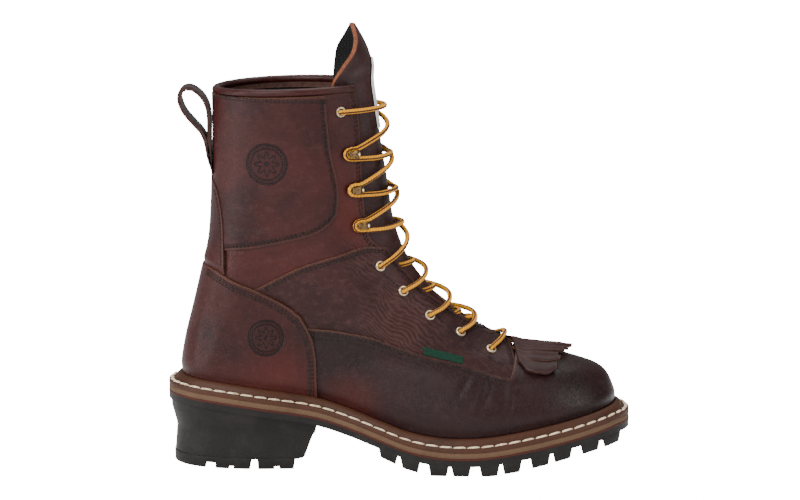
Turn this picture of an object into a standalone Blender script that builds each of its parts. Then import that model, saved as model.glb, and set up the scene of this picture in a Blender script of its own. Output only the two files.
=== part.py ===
"""Logger boot, right foot, standing empty on its sole.

Metres, +X towards the toe, +Z up, -Y the outer (lateral) side.
The origin is on the floor under the middle of the heel tread.
"""
import math

import bmesh
import bpy
from mathutils import Matrix, Vector

for old in list(bpy.data.objects):
    bpy.data.objects.remove(old, do_unlink=True)

# Driving sizes
SOLE_LENGTH = 0.307
BOOT_HEIGHT = 0.252
BALL_WIDTH = 0.114
HEEL_CENTRE = 0.0436
GAP = 0.0003
BED_GAP = 0.0008

# Leather
OVERLAY = 0.0016
WALL = 0.0022
COUNTER_STEP = 0.0005
TONGUE_DEPTH = 0.0049
TONGUE_WALL = 0.0030
TONGUE_TUCK = 0.0018
TONGUE_SWELL = 0.0010
BINDING_RADIUS = 0.0027
BINDING_DROP = 0.0059

# Sole stack, measured down from the line where the upper meets the welt
MARGIN_DROP = 0.0080
WELT_OUT = 0.0095
SHELF_DROP = 0.0048
SHEET_TOP = 0.0132
SHEET_BOTTOM = 0.0172
INSOLE_TOP = 0.0042
INSOLE_CLEAR = 0.0009
MIDSOLE_BOTTOM = 0.0129
HEEL_GAP = 0.0006

# Tread
LUG_PITCH = 0.0333
FIRST_NOTCH = 0.1530
FIRST_CHANNEL = 0.1695
NOTCH_WIDTH = 0.0046
CHANNEL_WIDTH = 0.0085
LUG_TAPER = 0.0030
LUG_DEPTH_IN = 0.0210
LUG_RISE = 0.0020
CENTRE_GROOVE_Y = 0.0190
CENTRE_GROOVE = 0.0040
CENTRE_GROOVE_DEPTH = 0.0045

# Lacing
EYELET_OUTER = 0.0035
EYELET_BARREL = 0.0022
EYELET_BORE = 0.0018
EYELET_RIM = 0.0007
EYELET_PROUD = 0.0004
EYELET_CLEAR = 0.0004
HOOK_WIDTH = 0.0060
LACE_RADIUS = 0.0015
LACE_CLEAR = 0.0033
LACE_APART = 0.0060
LACE_STEPS = 3
LACE_TRIM = 0.17

# Fringed flap and side label
KILTIE_THICK = 0.0020
KILTIE_LIFT = 0.0030
FRINGE_PITCH = 0.0066
FRINGE_SLIT = 0.0008
LABEL_HEIGHT = 0.0045
LABEL_THICK = 0.0005
LOOP_WIDTH = 0.020

# Grid of the last
ANGLES = 32
LEVELS = (0, 1, 1.5, 2, 2.5, 3, 3.5, 4, 5, 5.5, 6, 6.5, 7, 7.5, 8, 9.5, 10.25, 11)
FEATHER = 1
COLLAR = 11

# Sections of the last from the lasting margin up to the collar, as shares:
# x of SOLE_LENGTH from the back of the welt, z of BOOT_HEIGHT above the floor,
# half widths of BALL_WIDTH at five stations from back to front, and how far
# the section follows the curved seat line.
# back_x, back_z, front_x, front_z, heel_end, heel, waist, ball, toe_end, bend
SECTIONS = (
    (0.032, 0.203, 0.966, 0.125, 0.588, 0.399, 0.276, 0.461, 0.623, 1.00),
    (0.030, 0.235, 0.968, 0.157, 0.596, 0.404, 0.281, 0.465, 0.632, 1.00),
    (0.028, 0.266, 0.965, 0.190, 0.614, 0.421, 0.303, 0.482, 0.623, 0.82),
    (0.036, 0.325, 0.938, 0.244, 0.561, 0.408, 0.294, 0.425, 0.421, 0.52),
    (0.043, 0.361, 0.866, 0.278, 0.526, 0.395, 0.289, 0.364, 0.289, 0.32),
    (0.049, 0.389, 0.749, 0.314, 0.500, 0.390, 0.289, 0.351, 0.316, 0.16),
    (0.058, 0.433, 0.638, 0.389, 0.474, 0.386, 0.289, 0.325, 0.333, 0.06),
    (0.074, 0.516, 0.544, 0.508, 0.447, 0.386, 0.307, 0.325, 0.325, 0.00),
    (0.090, 0.603, 0.500, 0.619, 0.421, 0.368, 0.333, 0.329, 0.307, 0.00),
    (0.097, 0.754, 0.480, 0.758, 0.412, 0.368, 0.360, 0.346, 0.307, 0.00),
    (0.098, 0.881, 0.464, 0.881, 0.412, 0.386, 0.377, 0.360, 0.316, 0.00),
    (0.097, 0.994, 0.450, 1.008, 0.412, 0.404, 0.395, 0.373, 0.325, 0.00),
)
STATIONS = (0.00, 0.25, 0.40, 0.64, 1.00)
LAST_BACK = SECTIONS[FEATHER][0] * SOLE_LENGTH
LAST_FRONT = SECTIONS[FEATHER][2] * SOLE_LENGTH

# Seat line, where upper and welt meet: x share of SOLE_LENGTH, z share of BOOT_HEIGHT
SEAT_LINE = (
    (0.030, 0.235),
    (0.130, 0.223),
    (0.261, 0.200),
    (0.326, 0.186),
    (0.391, 0.163),
    (0.456, 0.135),
    (0.515, 0.110),
    (0.570, 0.097),
    (0.625, 0.093),
    (0.687, 0.096),
    (0.765, 0.109),
    (0.863, 0.131),
    (0.968, 0.157),
)

# Sideways curve of the last: x share of SOLE_LENGTH, y share of BALL_WIDTH
CENTRE_LINE = (
    (0.000, 0.000),
    (0.228, 0.000),
    (0.358, -0.022),
    (0.498, -0.048),
    (0.645, -0.028),
    (0.775, 0.004),
    (0.879, 0.020),
    (0.967, 0.018),
)

# Underside of the forefoot tread: x share of SOLE_LENGTH, z share of BOOT_HEIGHT
TREAD_LINE = (
    (0.455, 0.046),
    (0.511, 0.016),
    (0.560, 0.000),
    (0.697, 0.000),
    (0.756, 0.010),
    (0.814, 0.025),
    (0.873, 0.041),
    (0.945, 0.057),
    (1.010, 0.069),
)
TREAD_START = 0.455

# Heel block: z share of BOOT_HEIGHT, inset share of BALL_WIDTH, front x share of SOLE_LENGTH
HEEL_RINGS = (
    (0.000, 0.028, 0.274),
    (0.029, 0.034, 0.279),
    (0.030, 0.034, 0.295),
    (0.090, 0.044, 0.313),
    (0.100, 0.042, 0.319),
)
HEEL_TOP_INSET = 0.012
HEEL_TOP_FRONT = 0.321

# Heel tread notches: start and end x share of SOLE_LENGTH, depth share of BOOT_HEIGHT
HEEL_NOTCHES = (
    (0.084, 0.103, 0.014),
    (0.135, 0.142, 0.007),
    (0.180, 0.195, 0.026),
    (0.232, 0.241, 0.007),
)
HEEL_NOTCH_IN = 0.018
# How far in front of the counter's edge the welt still makes room for it
COUNTER_ROOM = 0.030

# Seams seen from the side: x share of SOLE_LENGTH, z share of BOOT_HEIGHT
COUNTER_EDGE = (
    (-0.020, 0.526),
    (0.076, 0.524),
    (0.102, 0.518),
    (0.140, 0.494),
    (0.193, 0.468),
    (0.255, 0.428),
    (0.288, 0.397),
    (0.311, 0.343),
    (0.320, 0.285),
    (0.322, 0.050),
)
QUARTER_TOP = (
    (0.193, 0.471),
    (0.254, 0.511),
    (0.303, 0.538),
    (0.369, 0.562),
    (0.425, 0.582),
    (0.472, 0.577),
)
THROAT_EDGE = (
    (0.407, 1.150),
    (0.409, 1.000),
    (0.417, 0.926),
    (0.421, 0.836),
    (0.425, 0.733),
    (0.432, 0.639),
    (0.443, 0.599),
    (0.472, 0.575),
    (0.497, 0.536),
    (0.549, 0.466),
    (0.588, 0.429),
    (0.650, 0.377),
    (0.700, 0.352),
)
FACING_END = (
    (0.712, 0.370),
    (0.738, 0.310),
    (0.748, 0.285),
    (0.748, 0.251),
)
VAMP_TOP = (
    (0.738, 0.242),
    (0.707, 0.249),
    (0.635, 0.278),
    (0.563, 0.298),
    (0.495, 0.325),
    (0.448, 0.345),
    (0.413, 0.354),
    (0.356, 0.364),
    (0.303, 0.367),
)
PANEL_EDGE = (
    (0.130, 0.573),
    (0.202, 0.585),
    (0.295, 0.611),
    (0.333, 0.629),
    (0.361, 0.658),
    (0.371, 0.696),
    (0.371, 0.736),
    (0.355, 0.833),
    (0.348, 0.911),
    (0.344, 0.960),
)
BACKSTAY_EDGE = (
    (0.090, 0.758),
    (0.100, 0.748),
    (0.113, 0.713),
    (0.122, 0.646),
    (0.124, 0.571),
    (0.124, 0.508),
)
KILTIE_EDGE = (
    (0.752, 0.420),
    (0.752, 0.262),
    (0.790, 0.236),
    (0.834, 0.239),
    (0.862, 0.262),
    (0.868, 0.420),
)

# Welt's upper face from its shelf to the upper: distances out from the feather
# line and down from the seat line
WELT_LIP = (
    (0.0052, 0.0051),
    (0.0036, 0.0018),
    (0.0020, 0.0002),
)
WELT_EDGE = 0.0006

# Side of a hook's bent strip: along the boot, out from the leather
HOOK_SIDE = (
    (-0.0045, 0.0000),
    (0.0040, 0.0000),
    (0.0048, 0.0008),
    (0.0048, 0.0050),
    (0.0036, 0.0062),
    (-0.0020, 0.0062),
    (-0.0020, 0.0052),
    (0.0030, 0.0052),
    (0.0038, 0.0044),
    (0.0038, 0.0016),
    (0.0032, 0.0010),
    (-0.0045, 0.0010),
)

# Holes and hooks of the facings, from the toe up: x share, z share
EYELETS = (
    (0.697, 0.309),
    (0.631, 0.353),
    (0.565, 0.399),
    (0.508, 0.464),
    (0.459, 0.531),
    (0.379, 0.937),
)
HOOKS = (
    (0.416, 0.639),
    (0.404, 0.733),
    (0.396, 0.827),
)

TONGUE_LEVELS = LEVELS[8:]
KILTIE_LEVELS = (3, 3.5, 4, 5, 5.5)
TONGUE_HALF = 5
TONGUE_MARGIN = 0.065
TONGUE_BLEND = 0.12
TUCK_LEVEL = 9.25
# Tongue above the collar: z, front x, half width, how far the edges sit back
TONGUE_TIP = (
    (1.048, 0.442, 0.230, 0.075),
    (1.085, 0.434, 0.190, 0.056),
    (1.118, 0.422, 0.125, 0.032),
    (1.143, 0.410, 0.065, 0.012),
    (1.155, 0.404, 0.022, 0.003),
)

# Side outline of the pull loop and its opening: x share, z share
LOOP_OUTLINE = (
    (0.0958, 0.782),
    (0.0958, 0.925),
    (0.089, 0.953),
    (0.076, 0.975),
    (0.063, 0.989),
    (0.045, 0.997),
    (0.028, 0.991),
    (0.020, 0.968),
    (0.021, 0.944),
    (0.036, 0.909),
    (0.059, 0.881),
    (0.075, 0.859),
    (0.083, 0.825),
    (0.086, 0.782),
)
LOOP_HOLE = (
    (0.036, 0.970),
    (0.043, 0.979),
    (0.054, 0.976),
    (0.069, 0.956),
    (0.080, 0.926),
    (0.085, 0.893),
    (0.072, 0.909),
    (0.052, 0.937),
    (0.037, 0.958),
)

# Ends of the side label and of the fringe's slits: x share, z share
LABEL_ENDS = ((0.554, 0.318), (0.634, 0.291))
FRINGE_START = 0.786
FRINGE_END = 1.120

# Places well clear of the boot, that close the outlines of panels and cuts
BEHIND = -0.050
AHEAD = 1.120
ABOVE = 1.200

LEATHER = (0.075, 0.028, 0.022)
LEATHER_DARK = (0.050, 0.022, 0.018)
LINING = (0.030, 0.026, 0.024)
TAN = (0.200, 0.120, 0.070)
RUBBER = (0.030, 0.028, 0.026)
BRASS = (0.560, 0.440, 0.260)
LACE_GOLD = (0.800, 0.480, 0.090)
LABEL_GREEN = (0.010, 0.120, 0.060)


def material(name, colour, roughness=0.5, metallic=0.0):
    """A Principled material of one colour."""
    made = bpy.data.materials.new(name)
    made.use_nodes = True
    shader = made.node_tree.nodes["Principled BSDF"]
    shader.inputs["Base Color"].default_value = (*colour, 1.0)
    shader.inputs["Roughness"].default_value = roughness
    shader.inputs["Metallic"].default_value = metallic
    made.diffuse_color = (*colour, 1.0)
    return made


def hermite(low, high, slope_low, slope_high, t):
    """Cubic between two values with given slopes over a unit step."""
    square = t * t
    cube = square * t
    return (
        (2 * cube - 3 * square + 1) * low
        + (cube - 2 * square + t) * slope_low
        + (3 * square - 2 * cube) * high
        + (cube - square) * slope_high
    )


def along(table, x):
    """Smooth value of a two-column table at x, level outside its ends."""
    if x <= table[0][0]:
        return table[0][1]
    if x >= table[-1][0]:
        return table[-1][1]
    index = max(i for i, row in enumerate(table[:-1]) if row[0] <= x)

    def slope(i):
        before = table[max(i - 1, 0)]
        after = table[min(i + 1, len(table) - 1)]
        return (after[1] - before[1]) / (after[0] - before[0])

    (x_low, low), (x_high, high) = table[index], table[index + 1]
    step = x_high - x_low
    return hermite(low, high, slope(index) * step, slope(index + 1) * step, (x - x_low) / step)


def straight(table, x):
    """Value of a two-column table at x, in straight runs."""
    if x <= table[0][0]:
        return table[0][1]
    for (x_low, low), (x_high, high) in zip(table, table[1:]):
        if x <= x_high:
            return low + (high - low) * (x - x_low) / (x_high - x_low)
    return table[-1][1]


def section(level):
    """The last's section at a level between two rows of SECTIONS."""
    last = len(SECTIONS) - 1
    index = min(int(level), last - 1)
    low, high = SECTIONS[index], SECTIONS[index + 1]
    below = SECTIONS[index - 1] if index > 0 else [2 * a - b for a, b in zip(low, high)]
    above = SECTIONS[index + 2] if index + 2 <= last else [2 * b - a for a, b in zip(low, high)]
    return [
        hermite(b, c, (c - a) / 2, (d - b) / 2, level - index)
        for a, b, c, d in zip(below, low, high, above)
    ]


def fullness(widths, share):
    """Half width of the oval through a station, level at both ends."""
    rows = [(-STATIONS[1], widths[1])]
    rows += list(zip(STATIONS, widths))
    rows += [(2 - STATIONS[3], widths[3])]
    return along(rows, share)


def seat(x):
    """Height of the line where upper and welt meet, x from the back of the welt."""
    return along(SEAT_LINE, x / SOLE_LENGTH) * BOOT_HEIGHT


def skin(angle, level):
    """Point of the last's skin: angle 0 at the back, pi at the front, past pi the inner side."""
    back_x, back_z, front_x, front_z, *widths, bend = section(level)
    share = angle / math.pi if angle <= math.pi else 2 - angle / math.pi
    forward = (1 - math.cos(angle)) / 2
    x = back_x + (front_x - back_x) * forward
    z = back_z + (front_z - back_z) * forward
    base = SECTIONS[FEATHER]
    chord = base[1] + (base[3] - base[1]) * forward
    z += max(bend, 0) * (along(SEAT_LINE, base[0] + (base[2] - base[0]) * forward) - chord)
    y = max(bend, 0) * along(CENTRE_LINE, x) - fullness(widths, abs(share)) * math.sin(angle)
    return Vector((x * SOLE_LENGTH - HEEL_CENTRE, y * BALL_WIDTH, z * BOOT_HEIGHT))


def outward(angle, level):
    """Outward normal of the skin."""
    step = 0.001
    round_ring = skin(angle + step, level) - skin(angle - step, level)
    up_ring = skin(angle, min(level + step, COLLAR)) - skin(angle, max(level - step, 0))
    return round_ring.cross(up_ring).normalized()


def form(angle, level, out=0.0):
    """Point at a distance outside the skin, or inside it where out is negative."""
    turned = angle % (2 * math.pi)
    return skin(turned, level) + outward(turned, level) * out


def outline(angle, out):
    """Plan point beside the feather line, out from it."""
    step = 0.001
    turned = angle % (2 * math.pi)
    here = skin(turned, FEATHER)
    run = skin(turned + step, FEATHER) - skin(turned - step, FEATHER)
    side = Vector((run.y, -run.x, 0)).normalized()
    return here.x + side.x * out, here.y + side.y * out


def locate(x_share, z_share, inner=False):
    """Angle and level of the skin point seen at a place in the side view."""
    low, high = FEATHER, COLLAR
    for _ in range(40):
        level = (low + high) / 2
        back_x, _, front_x, *_ = section(level)
        forward = min(max((x_share - back_x) / (front_x - back_x), 0), 1)
        angle = math.acos(1 - 2 * forward)
        if skin(angle, level).z < z_share * BOOT_HEIGHT:
            low = level
        else:
            high = level
    return (2 * math.pi - angle if inner else angle), level


def spots(table):
    """Side-view table in metres of the part's own frame."""
    return [(x * SOLE_LENGTH - HEEL_CENTRE, z * BOOT_HEIGHT) for x, z in table]


def shrunk(points, amount):
    """Side-view outline moved inward by an amount, whichever way it runs."""
    count = len(points)
    area = sum(
        points[i][0] * points[(i + 1) % count][1] - points[(i + 1) % count][0] * points[i][1]
        for i in range(count)
    )
    turn = 1 if area > 0 else -1
    made = []
    for i in range(count):
        before = Vector(points[i]) - Vector(points[i - 1])
        after = Vector(points[(i + 1) % count]) - Vector(points[i])
        first = Vector((-before.y, before.x)).normalized() * turn
        second = Vector((-after.y, after.x)).normalized() * turn
        middle = first + second
        scale = amount / max(middle.dot(first), 0.3)
        made.append((points[i][0] + middle.x * scale, points[i][1] + middle.y * scale))
    return made


def add(name, bm, finish=None, smooth=40):
    """Turn a bmesh into a named object with its material."""
    bmesh.ops.recalc_face_normals(bm, faces=bm.faces)
    mesh = bpy.data.meshes.new(name)
    bm.to_mesh(mesh)
    bm.free()
    made = bpy.data.objects.new(name, mesh)
    bpy.context.collection.objects.link(made)
    if finish:
        mesh.materials.append(finish)
    if smooth:
        mesh.shade_smooth()
        mesh.set_sharp_from_angle(angle=math.radians(smooth))
    return made


def next_loop(bm, loop, points):
    """Extrude a closed row of vertices and set the new row on its points."""
    edges = [bm.edges.get(pair) for pair in zip(loop, loop[1:] + loop[:1])]
    made = bmesh.ops.extrude_edge_only(bm, edges=edges)["geom"]
    fresh = {item for item in made if isinstance(item, bmesh.types.BMVert)}
    row = []
    for vertex in loop:
        twin = next(e.other_vert(vertex) for e in vertex.link_edges if e.other_vert(vertex) in fresh)
        row.append(twin)
    for vertex, point in zip(row, points):
        vertex.co = point
    return row


def loft(bm, loops):
    """Skin a list of closed rows of points and return the rows of vertices."""
    rows = [[bm.verts.new(point) for point in loops[0]]]
    for pair in zip(rows[0], rows[0][1:] + rows[0][:1]):
        bm.edges.new(pair)
    for points in loops[1:]:
        rows.append(next_loop(bm, rows[-1], points))
    return rows


def strip_cap(bm, loop):
    """Close a flat loop whose second half runs back beside its first half."""
    half = len(loop) // 2
    for i in range(half - 1):
        bm.faces.new((loop[i], loop[i + 1], loop[-2 - i], loop[-1 - i]))


def sheet(name, outer, inner, finish):
    """Closed solid between two open grids of the same size."""
    bm = bmesh.new()
    rows = loft(bm, [front + back[::-1] for front, back in zip(outer, inner)])
    strip_cap(bm, rows[0])
    strip_cap(bm, rows[-1])
    return add(name, bm, finish)


def crease(bm, low_row, high_row):
    """Split the four-sided faces between two levels the same way in every layer."""
    count = len(low_row)
    for k in range(count):
        after = (k + 1) % count
        pair = (low_row[k], high_row[after]) if k < count // 2 else (low_row[after], high_row[k])
        shared = set(pair[0].link_faces) & set(pair[1].link_faces)
        bmesh.utils.face_split(shared.pop(), *pair)


def close_round(bm, first, last):
    """Join the last row of a loft to its first one."""
    for corners in zip(first, first[1:] + first[:1], last[1:] + last[:1], last):
        bm.faces.new(corners)


def shell(name, out, depth, levels, finish):
    """Closed ring of leather between two distances from the skin."""
    turns = [2 * math.pi * k / ANGLES for k in range(ANGLES)]
    loops = [[form(turn, level, out) for turn in turns] for level in levels]
    loops += [[form(turn, level, out - depth) for turn in turns] for level in reversed(levels)]
    bm = bmesh.new()
    rows = loft(bm, loops)
    close_round(bm, rows[0], rows[-1])
    count = len(levels)
    outer, inner = rows[:count], rows[:count - 1:-1]
    for side in (outer, inner):
        for low_row, high_row in zip(side, side[1:]):
            crease(bm, low_row, high_row)
    return add(name, bm, finish)


def as_cutter(made):
    made.hide_render = True
    made.display_type = "WIRE"
    return made


def prism(name, points, y_low=-BALL_WIDTH, y_high=BALL_WIDTH):
    """Cutter: a side-view outline run across the boot."""
    bm = bmesh.new()
    face = bm.faces.new([bm.verts.new((x, y_low, z)) for x, z in points])
    moved = bmesh.ops.extrude_face_region(bm, geom=[face])["geom"]
    verts = [item for item in moved if isinstance(item, bmesh.types.BMVert)]
    bmesh.ops.translate(bm, verts=verts, vec=(0, y_high - y_low, 0))
    return as_cutter(add(name, bm, smooth=None))


def cut(made, cutter, operation="DIFFERENCE"):
    step = made.modifiers.new(cutter.name, "BOOLEAN")
    step.object = cutter
    step.operation = operation
    step.solver = "EXACT"


def panel(name, points, levels, finish, sides=(-BALL_WIDTH, BALL_WIDTH), out=0.0):
    """Overlay of the upper: a ring of leather cut to a side-view outline."""
    made = shell(name, out, OVERLAY + out, levels, finish)
    cutter = prism("cut_" + name, shrunk(points, GAP * 0.6), *sides)
    cut(made, cutter, "INTERSECT")
    return made


def sole_layer(name, out, top, bottom, finish, start=0):
    """Slab across the sole between two heights that follow x."""
    half = ANGLES // 2
    bm = bmesh.new()
    outer_side = [outline(math.pi * k / half, out) for k in range(start, half + 1)]
    inner_side = [outline(2 * math.pi - math.pi * k / half, out) for k in range(start, half + 1)]
    outer_row = [bm.verts.new((x, y, 0)) for x, y in outer_side]
    inner_row = [bm.verts.new((x, y, 0)) for x, y in inner_side]
    for k in range(len(outer_row) - 1):
        bm.faces.new((outer_row[k], outer_row[k + 1], inner_row[k + 1], inner_row[k]))
    bmesh.ops.remove_doubles(bm, verts=bm.verts, dist=1e-6)
    under = list(bm.verts)
    moved = bmesh.ops.extrude_face_region(bm, geom=list(bm.faces))["geom"]
    over = [item for item in moved if isinstance(item, bmesh.types.BMVert)]
    for vertex in under:
        vertex.co.z = bottom(vertex.co.x + HEEL_CENTRE)
    for vertex in over:
        vertex.co.z = top(vertex.co.x + HEEL_CENTRE)
    return add(name, bm, finish, smooth=30)


def box(bm, low, high, lean=0.0):
    """Box between two corners, its lower end widened along X by lean on each side."""
    made = bmesh.ops.create_cube(bm, size=1.0)["verts"]
    for vertex in made:
        at = [low[i] if vertex.co[i] < 0 else high[i] for i in range(3)]
        if at[2] == low[2]:
            at[0] += math.copysign(lean, vertex.co[0])
        vertex.co = at


def tread(x):
    return straight(TREAD_LINE, x / SOLE_LENGTH) * BOOT_HEIGHT


def make_outsole(finish):
    """Rubber sheet with a lugged forefoot and a plain shank."""

    def under(x):
        sheet = seat(x) - SHEET_BOTTOM
        if x < TREAD_START * SOLE_LENGTH:
            return sheet
        return min(tread(x), sheet - LUG_RISE)

    def gap_box(bm, x, width, y_low, y_high):
        """Cross cut between two lugs, wider at the floor."""
        half = (width - LUG_TAPER) / 2
        low = (x - half - HEEL_CENTRE, y_low, tread(x) - LUG_RISE)
        high = (x + half - HEEL_CENTRE, y_high, seat(x) - SHEET_BOTTOM)
        box(bm, low, high, lean=LUG_TAPER / 2)

    def repeats(first):
        """Places of a cut that repeats with the lugs, as far as the toe."""
        return [first + LUG_PITCH * i for i in range(math.ceil((LAST_FRONT - first) / LUG_PITCH))]

    made = sole_layer("outsole", WELT_OUT, lambda x: seat(x) - SHEET_TOP, under, finish)
    notches, channels, grooves = bmesh.new(), bmesh.new(), bmesh.new()
    for x in repeats(FIRST_NOTCH):
        turn = math.acos(1 - 2 * (x - LAST_BACK) / (LAST_FRONT - LAST_BACK))
        for sign in (-1, 1):
            edge = outline(turn if sign < 0 else 2 * math.pi - turn, WELT_OUT)[1]
            gap_box(notches, x, NOTCH_WIDTH, *sorted((edge - sign * LUG_DEPTH_IN, sign * BALL_WIDTH)))
    for start in repeats(FIRST_CHANNEL):
        gap_box(channels, start, CHANNEL_WIDTH, -BALL_WIDTH, BALL_WIDTH)
        block = start - LUG_PITCH / 2
        centre = straight(CENTRE_LINE, block / SOLE_LENGTH) * BALL_WIDTH
        for y in (centre - CENTRE_GROOVE_Y, centre + CENTRE_GROOVE_Y):
            low = (start - LUG_PITCH + GAP - HEEL_CENTRE, y - CENTRE_GROOVE / 2, -LUG_RISE)
            high = (start - GAP - HEEL_CENTRE, y + CENTRE_GROOVE / 2, tread(block) + CENTRE_GROOVE_DEPTH)
            box(grooves, low, high)
    cut(made, as_cutter(add("cut_side_notches", notches, smooth=None)))
    cut(made, as_cutter(add("cut_cross_channels", channels, smooth=None)))
    cut(made, as_cutter(add("cut_long_grooves", grooves, smooth=None)))
    return made


def make_heel(finish):
    """Block heel with a hollowed back, a stepped breast and tread notches."""
    half = 6
    step = 2 * math.pi / ANGLES

    def ring(inset, front_x, height):
        reach = front_x * SOLE_LENGTH - HEEL_CENTRE
        low, high = 0.0, math.pi
        for _ in range(30):
            middle = (low + high) / 2
            if outline(middle, WELT_OUT - inset * BALL_WIDTH)[0] < reach:
                low = middle
            else:
                high = middle
        side = [step * k for k in range(half)] + [low]
        turns = [-turn for turn in side[:0:-1]] + side
        flat = [outline(turn, WELT_OUT - inset * BALL_WIDTH) for turn in turns]
        return [(x, y, height(x + HEEL_CENTRE)) for x, y in flat]

    loops = [ring(inset, front, lambda x, z=z: z * BOOT_HEIGHT) for z, inset, front in HEEL_RINGS]
    loops.append(ring(HEEL_TOP_INSET, HEEL_TOP_FRONT, lambda x: seat(x) - SHEET_BOTTOM - HEEL_GAP))
    bm = bmesh.new()
    rows = loft(bm, loops)
    for loop in (rows[0], rows[-1]):
        for k in range(half):
            corners = [loop[k], loop[k + 1], loop[-2 - k], loop[-1 - k]]
            bm.faces.new(list(dict.fromkeys(corners)))
    made = add("heel", bm, finish, smooth=30)
    bm = bmesh.new()
    for start, end, depth in HEEL_NOTCHES:
        for sign in (-1, 1):
            ends = sorted((sign * HEEL_NOTCH_IN, sign * BALL_WIDTH))
            low = (start * SOLE_LENGTH - HEEL_CENTRE, ends[0], -LUG_RISE)
            high = (end * SOLE_LENGTH - HEEL_CENTRE, ends[1], depth * BOOT_HEIGHT)
            box(bm, low, high)
    cut(made, as_cutter(add("cut_heel_notches", bm, smooth=None)))
    return made


def make_welt(finish):
    """Storm welt all round: a stitched shelf with a lip raised against the upper."""
    loops = []
    for k in range(ANGLES):
        turn = 2 * math.pi * k / ANGLES
        base = skin(turn, FEATHER).x + HEEL_CENTRE
        behind = base < (COUNTER_EDGE[-1][0] + COUNTER_ROOM) * SOLE_LENGTH
        inner = GAP * 1.5 + (COUNTER_STEP if behind else 0)
        profile = (
            (inner, -MARGIN_DROP),
            (WELT_OUT, -MARGIN_DROP),
            (WELT_OUT, -SHELF_DROP - WELT_EDGE),
            (WELT_OUT - WELT_EDGE, -SHELF_DROP),
            *((out, -down) for out, down in WELT_LIP),
            (inner, -WELT_LIP[-1][1]),
        )
        loop = []
        for out, rise in profile:
            x, y = outline(turn, out)
            on_shelf = out > WELT_LIP[1][0]
            loop.append((x, y, seat(x + HEEL_CENTRE if on_shelf else base) + rise))
        loops.append(loop)
    bm = bmesh.new()
    rows = loft(bm, loops)
    close_round(bm, rows[0], rows[-1])
    return add("welt", bm, finish, smooth=30)


def topline():
    """Side-view line just under the rolled edge of the collar, back to front."""
    back_x, back_z, front_x, front_z, *_ = SECTIONS[COLLAR]
    slope = (front_z - back_z) * BOOT_HEIGHT / ((front_x - back_x) * SOLE_LENGTH)
    made = []
    for share in (BEHIND, AHEAD):
        rise = (share - back_x) * SOLE_LENGTH * slope
        made.append((share * SOLE_LENGTH - HEEL_CENTRE, back_z * BOOT_HEIGHT + rise - BINDING_DROP))
    return made


def make_upper(finish, throat, holes):
    """Hollow wall of the boot, open at the collar, the throat and underneath."""
    out = -(OVERLAY + GAP)
    made = shell("upper", out, WALL, LEVELS, finish)
    cut(made, throat)
    cut(made, holes)
    low_edge = topline()
    high_edge = [(x, ABOVE * BOOT_HEIGHT) for x, _ in low_edge]
    cut(made, prism("cut_topline", low_edge + high_edge[::-1]))
    return made


def make_binding(finish):
    """Rolled edge along the collar, from facing to facing."""
    reach = 0.775
    steps = 26
    sides = 8
    middle = OVERLAY + GAP + WALL / 2
    loops = []
    for k in range(steps + 1):
        turn = math.pi * reach * (2 * k / steps - 1)
        centre = form(turn, COLLAR, -middle)
        centre.z -= BINDING_RADIUS + GAP / 2
        ahead = form(turn + 0.01, COLLAR, -middle) - form(turn - 0.01, COLLAR, -middle)
        ahead.z = 0
        side = ahead.cross(Vector((0, 0, 1))).normalized()
        loop = []
        for i in range(sides):
            bend = 2 * math.pi * (i + 0.5) / sides
            loop.append(centre + (side * math.cos(bend) + Vector((0, 0, math.sin(bend)))) * BINDING_RADIUS)
        loops.append(loop)
    bm = bmesh.new()
    rows = loft(bm, loops)
    bm.faces.new(rows[0])
    bm.faces.new(rows[-1])
    return add("collar_binding", bm, finish, smooth=60)


def throat_share(level):
    """Share of the half turn at which a level's ring passes the facing edge."""
    by_height = sorted((z, x) for x, z in THROAT_EDGE)
    steps = 200
    for k in range(steps // 2, steps):
        point = skin(math.pi * k / steps, level)
        inside = point.z > by_height[0][0] * BOOT_HEIGHT
        if inside and point.x + HEEL_CENTRE > straight(by_height, point.z / BOOT_HEIGHT) * SOLE_LENGTH:
            return k / steps
    return 1.0


def tongue_rows(sink):
    """Grid of the tongue, sunk under the facings and swelling in the throat."""
    half = ANGLES // 2
    rows = []
    for level in TONGUE_LEVELS:
        row = []
        edge = max(throat_share(level), throat_share(level - 0.5))
        for k in range(half - TONGUE_HALF, half + TONGUE_HALF + 1):
            turn = math.pi * k / half
            share = 1 - abs(k - half) / half
            room = min(max((share - edge - TONGUE_MARGIN) / TONGUE_BLEND, 0), 1)
            swell = room * room * (3 - 2 * room)
            depth = TONGUE_DEPTH + TONGUE_TUCK * min(max(level - TUCK_LEVEL, 0), 1)
            row.append(form(turn, level, -depth + swell * (depth - TONGUE_SWELL) - sink))
        rows.append(row)
    for z, front, width, back in TONGUE_TIP:
        row = []
        for k in range(-TONGUE_HALF, TONGUE_HALF + 1):
            share = k / TONGUE_HALF
            x = (front - back * share * share) * SOLE_LENGTH - HEEL_CENTRE - sink
            y = share * max(width * BALL_WIDTH - sink * 0.4, 0.0008)
            row.append(Vector((x, y, z * BOOT_HEIGHT)))
        rows.append(row)
    return rows


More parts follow.
